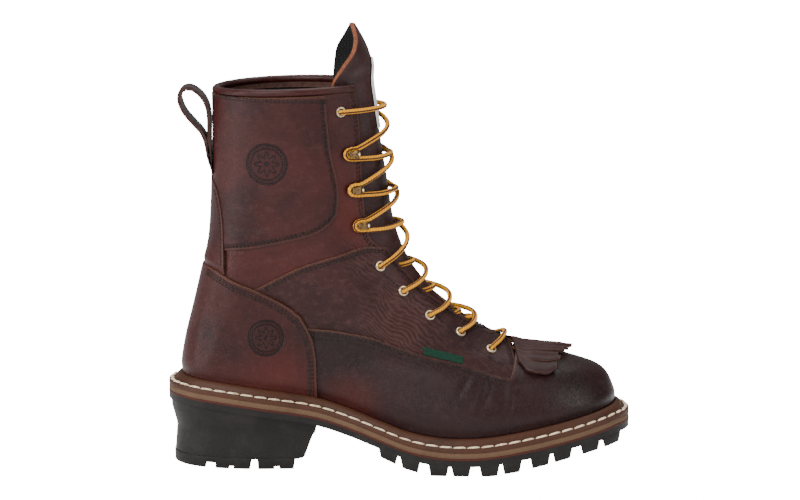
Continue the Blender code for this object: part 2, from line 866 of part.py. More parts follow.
def make_kiltie(finish):
    """Fringed flap on the vamp, its free end lifted."""
    half = ANGLES // 2
    spread = 6
    slits = 4
    root, rise = 0.74, 0.12

    def rows(extra):
        made = []
        for level in KILTIE_LEVELS:
            row = []
            for k in range(half - spread, half + spread + 1):
                turn = math.pi * k / half
                share = (skin(turn, level).x + HEEL_CENTRE) / SOLE_LENGTH
                free = max((share - root) / rise, 0)
                row.append(form(turn, level, GAP * 1.3 + KILTIE_LIFT * free * free + extra))
            made.append(row)
        return made

    made = sheet("kiltie", rows(KILTIE_THICK), rows(0), finish)
    cut(made, prism("cut_kiltie", spots(KILTIE_EDGE)), "INTERSECT")
    bm = bmesh.new()
    end = FRINGE_END * SOLE_LENGTH - HEEL_CENTRE
    for k in range(-slits, slits + 1):
        y = FRINGE_PITCH * k
        bow = 0.015 * (k / slits) ** 2
        start = (FRINGE_START - bow) * SOLE_LENGTH - HEEL_CENTRE
        box(bm, (start, y - FRINGE_SLIT / 2, 0), (end, y + FRINGE_SLIT / 2, BOOT_HEIGHT / 2))
    cut(made, as_cutter(add("cut_fringe", bm, smooth=None)))
    return made


def frame_on(angle, level, out):
    """Matrix on the skin: Z outward, X level and forward along the boot."""
    normal = outward(angle, level)
    side = Vector((0, 0, 1)).cross(normal)
    side = side if side.x > 0 else -side
    side.normalize()
    up = normal.cross(side)
    turn = Matrix((side, up, normal)).transposed().to_4x4()
    return Matrix.Translation(form(angle, level, out)) @ turn


def eyelet_mesh():
    """Rolled eyelet: a flange outside and a barrel through the leather."""
    reach = OVERLAY + GAP + WALL + EYELET_PROUD
    profile = (
        (EYELET_BORE, -reach),
        (EYELET_BARREL, -reach),
        (EYELET_BARREL, GAP * 2),
        (EYELET_OUTER, GAP * 2),
        (EYELET_BORE, GAP * 2 + EYELET_RIM),
    )
    bm = bmesh.new()
    verts = [bm.verts.new((radius, 0, z)) for radius, z in profile]
    edges = [bm.edges.new(pair) for pair in zip(verts, verts[1:] + verts[:1])]
    bmesh.ops.spin(
        bm,
        geom=verts + edges,
        cent=(0, 0, 0),
        axis=(0, 0, 1),
        angle=2 * math.pi,
        steps=8,
        use_merge=True,
    )
    bmesh.ops.remove_doubles(bm, verts=bm.verts, dist=1e-6)
    return bm


def hook_mesh():
    """Speed hook: a bent strip open towards the back."""
    bm = bmesh.new()
    face = bm.faces.new([bm.verts.new((x, -HOOK_WIDTH / 2, z)) for x, z in HOOK_SIDE])
    moved = bmesh.ops.extrude_face_region(bm, geom=[face])["geom"]
    verts = [item for item in moved if isinstance(item, bmesh.types.BMVert)]
    bmesh.ops.translate(bm, verts=verts, vec=(0, HOOK_WIDTH, 0))
    return bm


def place_hardware(brass, antique):
    """Eyelets and hooks of both facings, each its own object on a shared mesh."""
    first_eyelet = None
    first_hook = None
    for side, inner in (("lateral", False), ("medial", True)):
        for number, (x, z) in enumerate(EYELETS, 1):
            on_quarter = number < len(EYELETS)
            out = 0.0 if on_quarter else -(OVERLAY + GAP)
            name = f"eyelet_{side}_{number}"
            if first_eyelet is None:
                made = first_eyelet = add(name, eyelet_mesh(), brass)
            else:
                made = bpy.data.objects.new(name, first_eyelet.data)
                bpy.context.collection.objects.link(made)
            made.matrix_world = frame_on(*locate(x, z, inner), out)
        for number, (x, z) in enumerate(HOOKS, 1):
            name = f"hook_{side}_{number}"
            if first_hook is None:
                made = first_hook = add(name, hook_mesh(), antique, smooth=30)
            else:
                made = bpy.data.objects.new(name, first_hook.data)
                bpy.context.collection.objects.link(made)
            made.matrix_world = frame_on(*locate(x, z, inner), -OVERLAY)


def eyelet_holes():
    """Cutter: a round hole through the leather at each eyelet."""
    bm = bmesh.new()
    for inner in (False, True):
        for x, z in EYELETS:
            place = frame_on(*locate(x, z, inner), -(OVERLAY + WALL) / 2)
            bmesh.ops.create_cone(
                bm,
                cap_ends=True,
                segments=8,
                radius1=EYELET_BARREL + EYELET_CLEAR,
                radius2=EYELET_BARREL + EYELET_CLEAR,
                depth=(OVERLAY + WALL) * 2.4,
                matrix=place,
            )
    return as_cutter(add("cut_eyelet_holes", bm, smooth=None))


def ridge_level(x, z):
    """Level where the front ridge comes nearest to a place in the side view."""
    levels = [level / 20 for level in range(92, COLLAR * 20)]
    return min(levels, key=lambda level: (skin(math.pi, level) - Vector((x, 0, z))).length)


def crossing(start, end):
    """Lace run over the ridge between two holes, ending short of both."""
    ends = [skin(*start), skin(*end)]
    middle = ridge_level((ends[0].x + ends[1].x) / 2, (ends[0].z + ends[1].z) / 2)
    points = []
    for k in range(LACE_STEPS + 1):
        t = LACE_TRIM + (1 - 2 * LACE_TRIM) * k / LACE_STEPS
        turn = start[0] + (end[0] - start[0]) * t
        level = start[1] * (1 - t) * (1 - 2 * t) + middle * 4 * t * (1 - t) + end[1] * t * (2 * t - 1)
        points.append(form(turn, level, LACE_CLEAR))
    return points


def make_lace(finish):
    """One lace in bars and diagonals across the throat, clear of its eyelets."""
    stops = [EYELETS[-1]] + list(reversed(HOOKS)) + list(reversed(EYELETS[:-1]))
    apart = LACE_APART / BOOT_HEIGHT / 2
    points = []
    leaving = None
    for x, z in stops:
        if leaving:
            points += crossing(leaving, locate(x, z + apart))
        points += crossing(locate(x, z - apart), locate(x, z + apart, True))
        leaving = locate(x, z - apart, True)
    curve = bpy.data.curves.new("lace", "CURVE")
    curve.dimensions = "3D"
    curve.bevel_depth = LACE_RADIUS
    curve.bevel_resolution = 2
    curve.use_fill_caps = True
    spline = curve.splines.new("POLY")
    spline.points.add(len(points) - 1)
    for knot, point in zip(spline.points, points):
        knot.co = (*point, 1)
    curve.materials.append(finish)
    made = bpy.data.objects.new("lace", curve)
    bpy.context.collection.objects.link(made)
    return made


def make_pull_loop(finish):
    """Leather loop on the back of the collar."""
    made = prism("pull_loop", spots(LOOP_OUTLINE), -LOOP_WIDTH / 2, LOOP_WIDTH / 2)
    made.hide_render = False
    made.display_type = "TEXTURED"
    made.data.materials.append(finish)
    made.data.shade_smooth()
    made.data.set_sharp_from_angle(angle=math.radians(50))
    cut(made, prism("cut_loop_hole", spots(LOOP_HOLE), -LOOP_WIDTH, LOOP_WIDTH))
    return made


def make_label(finish):
    """Small bare woven label on the outer quarter."""
    (x_low, z_low), (x_high, z_high) = LABEL_ENDS
    steps = 4
    half = LABEL_HEIGHT / 2 / BOOT_HEIGHT
    outer, inner = [], []
    for k in range(steps + 1):
        t = k / steps
        x, z = x_low + (x_high - x_low) * t, z_low + (z_high - z_low) * t
        ends = [locate(x, z - half), locate(x, z + half)]
        outer.append([form(*end, GAP * 1.5 + LABEL_THICK) for end in ends])
        inner.append([form(*end, GAP * 1.5) for end in ends])
    return sheet("side_label", outer, inner, finish)


def make_panels(leather, leather_dark, holes):
    """Overlays of the upper, each between two seams seen from the side."""
    counter_line = spots(COUNTER_EDGE)
    front_end = spots(FACING_END)
    vamp_line = spots(VAMP_TOP)
    throat_line = spots(THROAT_EDGE)
    panel_line = spots(PANEL_EDGE)
    stay_line = spots(BACKSTAY_EDGE)
    behind = BEHIND * SOLE_LENGTH - HEEL_CENTRE
    ahead = AHEAD * SOLE_LENGTH - HEEL_CENTRE
    halves = (
        ("lateral", (-BALL_WIDTH, -GAP)),
        ("medial", (GAP, BALL_WIDTH)),
    )

    vamp = vamp_line[::-1] + front_end[::-1]
    vamp += [(ahead, BOOT_HEIGHT / 2), (ahead, 0), (counter_line[-1][0], 0)]
    vamp += counter_line[-2:-4:-1]
    panel("vamp", vamp, [level for level in LEVELS if level <= 6], leather_dark)

    counter = counter_line + [(behind, counter_line[-1][1])]
    counter_levels = [level for level in LEVELS if level <= 7.5]
    panel("counter", counter, counter_levels, leather, out=COUNTER_STEP)

    quarter = counter_line[4:7][::-1] + spots(QUARTER_TOP)[1:]
    quarter += throat_line[8:-1] + front_end + vamp_line
    quarter_levels = [level for level in LEVELS if 2.5 <= level <= 9.5]
    for side, reach in halves:
        made = panel("quarter_" + side, quarter, quarter_levels, leather, reach)
        cut(made, holes)

    (back_x, back_z), (front_x, front_z) = topline()
    corner = panel_line[-1][0]
    corner_z = back_z + (front_z - back_z) * (corner - back_x) / (front_x - back_x)
    side_panel = panel_line + [(corner, corner_z), (back_x, back_z), (back_x, stay_line[0][1])]
    side_panel += stay_line[:5]
    side_levels = [level for level in LEVELS if level >= 7]
    for side, reach in halves:
        panel("side_panel_" + side, side_panel, side_levels, leather, reach)

    backstay = stay_line + counter_line[2::-1] + [(counter_line[0][0], stay_line[0][1])]
    panel("backstay", backstay, [level for level in LEVELS if 6 <= level <= 9.5], leather)


def build():
    leather = material("oiled_leather", LEATHER, 0.45)
    leather_dark = material("vamp_leather", LEATHER_DARK, 0.45)
    lining = material("lining_leather", LINING, 0.8)
    welt_tan = material("welt_leather", TAN, 0.6)
    midsole_tan = material("midsole_board", TAN, 0.65)
    rubber = material("sole_rubber", RUBBER, 0.75)
    brass = material("eyelet_brass", BRASS, 0.3, 0.9)
    antique = material("hook_brass", BRASS, 0.4, 0.9)
    gold = material("lace_cord", LACE_GOLD, 0.7)
    green = material("label_cloth", LABEL_GREEN, 0.8)

    inside = -(OVERLAY + GAP + WALL + INSOLE_CLEAR)
    sole_layer("insole", inside, lambda x: seat(x) - INSOLE_TOP, lambda x: seat(x) - MARGIN_DROP, lining)
    sole_layer(
        "midsole",
        WELT_OUT - 0.0002,
        lambda x: seat(x) - MARGIN_DROP - BED_GAP,
        lambda x: seat(x) - MIDSOLE_BOTTOM,
        midsole_tan,
    )
    make_outsole(rubber)
    make_heel(rubber)
    make_welt(welt_tan)

    holes = eyelet_holes()
    throat = prism("cut_throat", spots(THROAT_EDGE + ((AHEAD, 0.4), (AHEAD, ABOVE))))
    make_upper(leather, throat, holes)
    make_panels(leather, leather_dark, holes)
    make_binding(leather)
    sheet("tongue", tongue_rows(0), tongue_rows(TONGUE_WALL), leather)
    make_kiltie(leather_dark)
    make_pull_loop(leather)
    make_label(green)
    place_hardware(brass, antique)
    make_lace(gold)


build()
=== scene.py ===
# %% [markdown]
# # A logger boot, dressed over its own last
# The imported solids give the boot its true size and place. This notebook loads them
# as a fixed frame and lays the finished leather, rubber, thread and brass over them,
# one piece at a time, the way a boot is closed over its last at the bench.

import math

import bmesh
import bpy
import numpy as np
from mathutils import Matrix, Vector
from mathutils.kdtree import KDTree


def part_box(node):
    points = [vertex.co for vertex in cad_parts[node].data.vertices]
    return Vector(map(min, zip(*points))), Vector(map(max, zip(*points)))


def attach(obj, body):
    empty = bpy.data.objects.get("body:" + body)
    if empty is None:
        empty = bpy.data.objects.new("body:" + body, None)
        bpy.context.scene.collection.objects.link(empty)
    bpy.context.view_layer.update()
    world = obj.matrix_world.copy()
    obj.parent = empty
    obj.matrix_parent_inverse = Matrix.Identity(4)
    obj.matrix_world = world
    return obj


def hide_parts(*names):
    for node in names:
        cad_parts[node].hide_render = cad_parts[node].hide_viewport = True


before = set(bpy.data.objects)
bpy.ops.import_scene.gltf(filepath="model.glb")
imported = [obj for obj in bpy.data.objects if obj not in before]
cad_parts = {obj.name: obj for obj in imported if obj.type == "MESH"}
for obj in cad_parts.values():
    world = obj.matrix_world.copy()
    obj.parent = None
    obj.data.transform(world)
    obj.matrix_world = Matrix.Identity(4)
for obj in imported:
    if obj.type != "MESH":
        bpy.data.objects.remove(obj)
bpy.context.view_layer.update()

# %% [markdown]
# ## Camera
# The view is the photograph's: a long lens a little above the boot, square to its
# outer side, so that its outline is close to a drawing from the side.

# %% Camera
PHOTO_LENS = 147.24
PHOTO_DISTANCE = 2.14
PHOTO_HEIGHT = 0.5
PHOTO_MIDDLE = 0.1098
PHOTO_PITCH = math.radians(80.45)

camera = bpy.data.objects.new("camera", bpy.data.cameras.new("camera"))
camera.data.lens = PHOTO_LENS
camera.data.sensor_width = 36
camera.location = (PHOTO_MIDDLE, -PHOTO_DISTANCE, PHOTO_HEIGHT)
camera.rotation_euler = (PHOTO_PITCH, 0, 0)
bpy.context.scene.collection.objects.link(camera)
bpy.context.scene.camera = camera
print("camera: lens", PHOTO_LENS, "mm")

# %% [markdown]
# ## Floor and light
# A white paper floor and a pale sky stand in for a studio tent. The floor is lit up for
# the camera alone, through Light Path, so that the paper reads as white and still throws
# no extra light on the leather. Five area lights are cheaper to sample than a lit dome.

# %% Floor, sky and soft panels
def softbox(name, place, aim, size, power):
    """A rectangular area light at a place, turned to face a point."""
    light = bpy.data.lights.new(name, "AREA")
    light.shape = "RECTANGLE"
    light.size, light.size_y = size
    light.energy = power
    made = bpy.data.objects.new(name, light)
    made.location = place
    made.rotation_euler = (Vector(aim) - Vector(place)).to_track_quat("-Z", "Y").to_euler()
    bpy.context.scene.collection.objects.link(made)
    return made


def plain_material(name, colour, roughness, metallic=0.0):
    """A Principled material of one colour."""
    made = bpy.data.materials.new(name)
    made.use_nodes = True
    shader = made.node_tree.nodes["Principled BSDF"]
    shader.inputs["Base Color"].default_value = (*colour, 1.0)
    shader.inputs["Roughness"].default_value = roughness
    shader.inputs["Metallic"].default_value = metallic
    return made


floor_bm = bmesh.new()
bmesh.ops.create_grid(floor_bm, x_segments=1, y_segments=1, size=12)
floor_mesh = bpy.data.meshes.new("studio_floor")
floor_bm.to_mesh(floor_mesh)
floor_bm.free()
floor = bpy.data.objects.new("studio_floor", floor_mesh)
bpy.context.scene.collection.objects.link(floor)
floor_mesh.materials.append(plain_material("studio_paper", (0.95, 0.95, 0.95), 0.9))
paper = floor_mesh.materials[0].node_tree.nodes["Principled BSDF"]
paper.inputs["Emission Color"].default_value = (1.0, 1.0, 1.0, 1.0)
seen = floor_mesh.materials[0].node_tree.nodes.new("ShaderNodeLightPath")
glow = floor_mesh.materials[0].node_tree.nodes.new("ShaderNodeMath")
glow.operation = "MULTIPLY"
glow.inputs[1].default_value = 16.0
floor_mesh.materials[0].node_tree.links.new(seen.outputs["Is Camera Ray"], glow.inputs[0])
floor_mesh.materials[0].node_tree.links.new(glow.outputs[0], paper.inputs["Emission Strength"])

sky = bpy.data.worlds.new("studio_sky")
sky.use_nodes = True
sky.node_tree.nodes["Background"].inputs["Color"].default_value = (0.97, 0.98, 1.0, 1.0)
sky.node_tree.nodes["Background"].inputs["Strength"].default_value = 0.35
bpy.context.scene.world = sky

MIDDLE = (0.11, 0.0, 0.12)
softbox("key_panel", (-0.55, -1.15, 1.15), MIDDLE, (0.8, 0.9), 30)
softbox("toe_panel", (1.35, -0.75, 0.75), MIDDLE, (0.5, 1.1), 13)
softbox("top_panel", (0.15, 0.35, 1.5), MIDDLE, (1.2, 0.8), 20)
softbox("low_panel", (0.1, -1.5, 0.25), MIDDLE, (1.6, 0.3), 4)
softbox("edge_panel", (-0.95, -0.35, 0.45), (0.02, 0, 0.12), (0.3, 0.9), 9)
print("floor, sky and", len(bpy.data.lights), "soft panels")

# %% [markdown]
# ## The last
# Every piece of leather on a boot takes its shape from the last, the wooden foot it is
# pulled over. Here the last is a function: an angle round the boot and a level from the
# welt (1) to the collar (11) give a point. The shares below are the pattern's own
# sections, as in the solids, so what is laid at height 0 lands on the solid leather.
# Working with whole arrays of angles and levels at once keeps it quick.

# %% Sizes and sections of the last
SOLE_LENGTH = 0.307
BOOT_HEIGHT = 0.252
BALL_WIDTH = 0.114
HEEL_CENTRE = -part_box("welt")[0].x
MM = 0.001
COLLAR = 11

# back_x, back_z, front_x, front_z, half widths at five stations, bend with the seat
SECTIONS = np.array((
    (0.032, 0.203, 0.966, 0.125, 0.588, 0.399, 0.276, 0.461, 0.623, 1.00),
    (0.030, 0.235, 0.968, 0.157, 0.596, 0.404, 0.281, 0.465, 0.632, 1.00),
    (0.028, 0.266, 0.965, 0.190, 0.614, 0.421, 0.303, 0.482, 0.623, 0.82),
    (0.036, 0.325, 0.938, 0.244, 0.561, 0.408, 0.294, 0.425, 0.421, 0.52),
    (0.043, 0.361, 0.866, 0.278, 0.526, 0.395, 0.289, 0.364, 0.289, 0.32),
    (0.049, 0.389, 0.749, 0.314, 0.500, 0.390, 0.289, 0.351, 0.316, 0.16),
    (0.058, 0.433, 0.638, 0.389, 0.474, 0.386, 0.289, 0.325, 0.333, 0.06),
    (0.074, 0.516, 0.544, 0.508, 0.447, 0.386, 0.307, 0.325, 0.325, 0.00),
    (0.090, 0.603, 0.500, 0.619, 0.421, 0.368, 0.333, 0.329, 0.307, 0.00),
    (0.097, 0.754, 0.480, 0.758, 0.412, 0.368, 0.360, 0.346, 0.307, 0.00),
    (0.098, 0.881, 0.464, 0.881, 0.412, 0.386, 0.377, 0.360, 0.316, 0.00),
    (0.097, 0.994, 0.450, 1.008, 0.412, 0.404, 0.395, 0.373, 0.325, 0.00),
))
STATIONS = (0.00, 0.25, 0.40, 0.64, 1.00)
SEAT_LINE = (
    (0.030, 0.235), (0.130, 0.223), (0.261, 0.200), (0.326, 0.186), (0.391, 0.163),
    (0.456, 0.135), (0.515, 0.110), (0.570, 0.097), (0.625, 0.093), (0.687, 0.096),
    (0.765, 0.109), (0.863, 0.131), (0.968, 0.157),
)
CENTRE_LINE = (
    (0.000, 0.000), (0.228, 0.000), (0.358, -0.022), (0.498, -0.048),
    (0.645, -0.028), (0.775, 0.004), (0.879, 0.020), (0.967, 0.018),
)

# %% [markdown]
# ## Smooth curves
# A pattern is drawn through a few marks with a bent batten. The cubic below does that
# with numbers, for many points at once, and keeps the tables short.

# %% Smooth curves through short tables
def cubic(low, high, slope_low, slope_high, t):
    """Cubic between two values with given slopes over a unit step."""
    square = t * t
    cube = square * t
    return (
        (2 * cube - 3 * square + 1) * low
        + (cube - 2 * square + t) * slope_low
        + (3 * square - 2 * cube) * high
        + (cube - square) * slope_high
    )


def through(knots, values, x):
    """Smooth curve through knots, whose values may differ from point to point."""
    knots = np.asarray(knots, float)
    last = len(knots) - 1
    x = np.clip(x, knots[0], knots[-1])
    values = np.broadcast_to(np.asarray(values, float), (len(x), last + 1))
    i = np.clip(np.searchsorted(knots, x, side="right") - 1, 0, last - 1)
    rows = np.arange(len(x))

    def slope(k):
        before, after = np.maximum(k - 1, 0), np.minimum(k + 1, last)
        return (values[rows, after] - values[rows, before]) / (knots[after] - knots[before])

    step = knots[i + 1] - knots[i]
    share = (x - knots[i]) / step
    return cubic(values[rows, i], values[rows, i + 1], slope(i) * step, slope(i + 1) * step, share)


def along(table, x):
    knots, values = np.asarray(table, float).T
    return through(knots, values, np.atleast_1d(np.asarray(x, float)))


def seat(x):
    """Height of the line where the upper meets the welt, x from the back of the welt."""
    return along(SEAT_LINE, np.asarray(x) / SOLE_LENGTH) * BOOT_HEIGHT

# %% [markdown]
# ## Skin of the last
# The skin turns an angle and a level into a point, and `form` steps out from it along
# the normal by the thickness of leather. `locate` goes the other way, from a place in the
# side view to its angle and level, by halving, so seams can be drawn as they are seen.

# %% Skin of the last
def section(level):
    """The last's section at each level, between two rows of the table."""
    last = len(SECTIONS) - 1
    i = np.clip(level.astype(int), 0, last - 1)
    low, high = SECTIONS[i], SECTIONS[i + 1]
    below = np.where((i > 0)[:, None], SECTIONS[np.maximum(i - 1, 0)], 2 * low - high)
    above = np.where((i + 2 <= last)[:, None], SECTIONS[np.minimum(i + 2, last)], 2 * high - low)
    return cubic(low, high, (high - below) / 2, (above - low) / 2, (level - i)[:, None])


def skin(angle, level):
    """Points of the last: angle 0 at the back, pi at the front, past pi the inner side."""
    angle = np.mod(np.atleast_1d(np.asarray(angle, float)), 2 * math.pi)
    level = np.broadcast_to(np.asarray(level, float), angle.shape)
    rows = section(level)
    back_x, back_z, front_x, front_z = rows[:, :4].T
    widths, bend = rows[:, 4:9], np.maximum(rows[:, 9], 0)
    share = np.where(angle <= math.pi, angle / math.pi, 2 - angle / math.pi)
    forward = (1 - np.cos(angle)) / 2
    x = back_x + (front_x - back_x) * forward
    z = back_z + (front_z - back_z) * forward
    base = SECTIONS[1]
    chord = base[1] + (base[3] - base[1]) * forward
    z = z + bend * (along(SEAT_LINE, base[0] + (base[2] - base[0]) * forward) - chord)
    knots = (-STATIONS[1],) + STATIONS + (2 - STATIONS[3],)
    ovals = np.column_stack((widths[:, 1], widths, widths[:, 3]))
    y = bend * along(CENTRE_LINE, x) - through(knots, ovals, share) * np.sin(angle)
    return np.column_stack((x * SOLE_LENGTH - HEEL_CENTRE, y * BALL_WIDTH, z * BOOT_HEIGHT))


def outward(angle, level):
    """Unit normals of the last."""
    step = 0.001
    level = np.broadcast_to(np.asarray(level, float), np.shape(angle))
    ring = skin(angle + step, level) - skin(angle - step, level)
    rise = skin(angle, np.minimum(level + step, COLLAR)) - skin(angle, np.maximum(level - step, 0))
    cross = np.cross(ring, rise)
    return cross / np.linalg.norm(cross, axis=1)[:, None]


def form(angle, level, out=0.0):
    """Points at a distance outside the last."""
    angle = np.atleast_1d(np.asarray(angle, float))
    level = np.broadcast_to(np.asarray(level, float), angle.shape)
    out = np.broadcast_to(np.asarray(out, float), angle.shape)
    return skin(angle, level) + outward(angle, level) * out[:, None]


def locate(x, z, inner=False):
    """Angle and level of the skin seen at shares x and z in the side view."""
    x, z = np.atleast_1d(np.asarray(x, float)), np.atleast_1d(np.asarray(z, float))
    low, high = np.full(x.shape, 0.6), np.full(x.shape, float(COLLAR))
    for _ in range(26):
        level = (low + high) / 2
        back_x, _, front_x = section(level)[:, :3].T
        angle = np.arccos(1 - 2 * np.clip((x - back_x) / (front_x - back_x), 0, 1))
        under = skin(angle, level)[:, 2] < z * BOOT_HEIGHT
        low, high = np.where(under, level, low), np.where(under, high, level)
    return (2 * math.pi - angle if inner else angle), level


print("last: ball girth point", np.round(skin(2.1, 2.0)[0], 4).tolist())

# %% [markdown]
# ## Seams
# A pattern cutter works from the seams. Each is a short table of shares of the boot's
# length and height as seen from the side, smoothed into a curve. A panel is then the
# sheet between four of these curves, so its edge is crisp and its grain runs with it.

# %% Seam tables
COUNTER_TOP = (
    (-0.020, 0.526), (0.076, 0.524), (0.102, 0.518), (0.140, 0.494), (0.193, 0.468),
    (0.255, 0.428), (0.288, 0.397),
)
COUNTER_FRONT = ((0.322, 0.120), (0.322, 0.200), (0.320, 0.285), (0.311, 0.343), (0.288, 0.397))
QUARTER_TOP = ((0.180, 0.462), (0.193, 0.471), (0.254, 0.511), (0.303, 0.538), (0.369, 0.562),
               (0.425, 0.582), (0.472, 0.577))
THROAT_LOW = ((0.472, 0.577), (0.497, 0.536), (0.549, 0.466), (0.588, 0.429), (0.650, 0.377),
              (0.700, 0.352))
FACING_END = ((0.700, 0.352), (0.722, 0.347), (0.738, 0.320), (0.748, 0.285), (0.748, 0.251), (0.738, 0.238))
VAMP_TOP = (
    (0.303, 0.367), (0.356, 0.364), (0.413, 0.354), (0.448, 0.345), (0.495, 0.325),
    (0.563, 0.298), (0.635, 0.278), (0.707, 0.249), (0.738, 0.242),
)
THROAT_HIGH = (
    (0.472, 0.575), (0.443, 0.599), (0.432, 0.639), (0.425, 0.733), (0.421, 0.836),
    (0.417, 0.926), (0.409, 1.000),
)
PANEL_LOW = ((0.118, 0.570), (0.150, 0.576), (0.202, 0.585), (0.295, 0.611), (0.333, 0.629), (0.355, 0.650))
PANEL_FRONT = ((0.355, 0.650), (0.367, 0.672), (0.371, 0.716), (0.368, 0.760), (0.355, 0.833),
               (0.348, 0.911), (0.343, 0.986))
STAY_EDGE = ((0.124, 0.508), (0.124, 0.571), (0.122, 0.646), (0.113, 0.713), (0.100, 0.748), (0.085, 0.770))

# %% [markdown]
# ## Lines and patches
# Four seams bound a panel. A patch fills them by blending the two pairs of lines and
# taking away the corners once, the way a sheet is stretched in a frame.

# %% Lines and four-sided patches
def resample(points, count):
    """Points spread evenly along a line."""
    points = np.asarray(points, float)
    runs = np.r_[0, np.cumsum(np.linalg.norm(np.diff(points, axis=0), axis=1))]
    spots = np.linspace(0, runs[-1], count)
    return np.column_stack([np.interp(spots, runs, column) for column in points.T])


def smooth(table, count=120):
    """Even points on a smooth curve through a table's points."""
    knots = np.asarray(table, float)
    ends = np.vstack((2 * knots[0] - knots[1], knots, 2 * knots[-1] - knots[-2]))
    t = np.linspace(0, len(knots) - 1, 24 * len(knots))
    i = np.minimum(t.astype(int), len(knots) - 2)
    a, b, c, d = (ends[i + k] for k in range(4))
    return resample(cubic(b, c, (c - a) / 2, (d - b) / 2, (t - i)[:, None]), count)


def on_line(line, t):
    spots = np.linspace(0, 1, len(line))
    return np.column_stack([np.interp(t, spots, column) for column in line.T])


def patch(bottom, top, left, right, u, v):
    """Points inside four lines: bottom and top run left to right, the sides run up."""
    low, high = on_line(bottom, u), on_line(top, u)
    start, end = on_line(left, v), on_line(right, v)
    u, v = u[:, None], v[:, None]
    corners = (1 - v) * ((1 - u) * bottom[0] + u * bottom[-1]) + v * ((1 - u) * top[0] + u * top[-1])
    return (1 - v) * low + v * high + (1 - u) * start + u * end - corners


def nearness(x, z, line, reach):
    """1 on a side-view line, fading to 0 at a reach in metres."""
    spots = np.column_stack((x * SOLE_LENGTH, z * BOOT_HEIGHT))
    marks = line * (SOLE_LENGTH, BOOT_HEIGHT)
    far = np.min(np.linalg.norm(spots[:, None] - marks[None], axis=2), axis=1)
    fade = np.clip(1 - far / reach, 0, 1)
    return fade * fade * (3 - 2 * fade)


counter_line = np.vstack((smooth(COUNTER_TOP, 100), smooth(COUNTER_FRONT, 60)[::-1]))
vamp_line = smooth(VAMP_TOP)
quarter_line = smooth(QUARTER_TOP)
facing_line = smooth(FACING_END, 40)
throat_line = smooth(THROAT_HIGH)
panel_line = np.vstack((smooth(PANEL_LOW, 80), smooth(PANEL_FRONT, 80)))
print("seams:", sum(len(line) for line in (counter_line, vamp_line, quarter_line, panel_line)), "points")

# %% [markdown]
# ## Creases and cutting
# Worn leather folds where the foot bends. Each crease is given in the side view: its
# middle, its direction, its length, width and depth in millimetres, as a soft trough
# with a low ridge on either side. Every layer and every stitch is laid over the same
# relief, so that nothing floats over a fold.

# %% Creases
# x share, z share, direction in degrees, length, width, depth in mm, side (-1 outer, 1 inner, 0 both)
CREASES = (
    (0.560, 0.395, -42, 9.0, 1.5, 0.45, 0),
    (0.540, 0.405, -48, 11.0, 1.6, 0.50, 0),
    (0.518, 0.420, -50, 12.0, 1.7, 0.50, -1),
    (0.500, 0.400, -38, 14.0, 1.9, 0.50, 0),
    (0.470, 0.430, -30, 12.0, 2.0, 0.45, -1),
    (0.455, 0.470, -20, 11.0, 2.2, 0.55, 0),
    (0.425, 0.560, 12, 12.0, 2.0, 0.60, 0),
    (0.405, 0.585, 24, 13.0, 2.4, 0.60, -1),
    (0.385, 0.545, 6, 16.0, 2.6, 0.50, 1),
    (0.640, 0.235, 62, 13.0, 2.6, 0.55, 0),
    (0.690, 0.215, 72, 15.0, 3.0, 0.60, 0),
    (0.735, 0.190, 80, 14.0, 3.2, 0.55, -1),
    (0.600, 0.250, 50, 14.0, 3.0, 0.45, 1),
    (0.240, 0.690, -22, 15.0, 5.0, 0.90, 0),
    (0.300, 0.740, 35, 15.0, 5.5, 0.80, -1),
    (0.200, 0.640, 8, 17.0, 5.0, 0.70, 0),
    (0.170, 0.800, 80, 20.0, 6.5, 0.60, 1),
    (0.240, 0.560, 14, 22.0, 4.0, 0.80, 0),
    (0.330, 0.600, 26, 16.0, 3.2, 0.60, -1),
    (0.120, 0.450, 78, 16.0, 6.0, 0.50, 0),
    (0.090, 0.350, 84, 20.0, 5.0, 0.45, -1),
)


def relief(points):
    """How far the creases lift or sink the leather at points of the last."""
    x, y, z = points[:, 0] + HEEL_CENTRE, points[:, 1], points[:, 2]
    total = np.zeros(len(points))
    for at_x, at_z, turn, length, width, depth, side in CREASES:
        turn = math.radians(turn)
        right, up = x - at_x * SOLE_LENGTH, z - at_z * BOOT_HEIGHT
        run = (right * math.cos(turn) + up * math.sin(turn)) / (length * MM)
        bow = 0.12 * (run * length * MM) ** 2 / (length * MM)
        across = (up * math.cos(turn) - right * math.sin(turn) - bow) / (width * MM)
        fold = (1 - 1.1 * across ** 2) * np.exp(-across ** 2 / 1.4) * np.exp(-run ** 2)
        total -= fold * depth * MM * ((y * side >= 0) if side else 1)
    return total


def dressed(angle, level, out=0.0):
    """Points over the last and its creases."""
    base = form(angle, level, 0.0)
    return form(angle, level, np.asarray(out) + relief(base))

# %% [markdown]
# ## Sheets of leather
# Leather has a thickness and a cut edge. A flat grid is extruded down for the edge,
# moved to its place by a function, and its rim is bevelled, so the edge catches light
# as a cut one does. Solidify could do this too, but would not keep the rim's material.

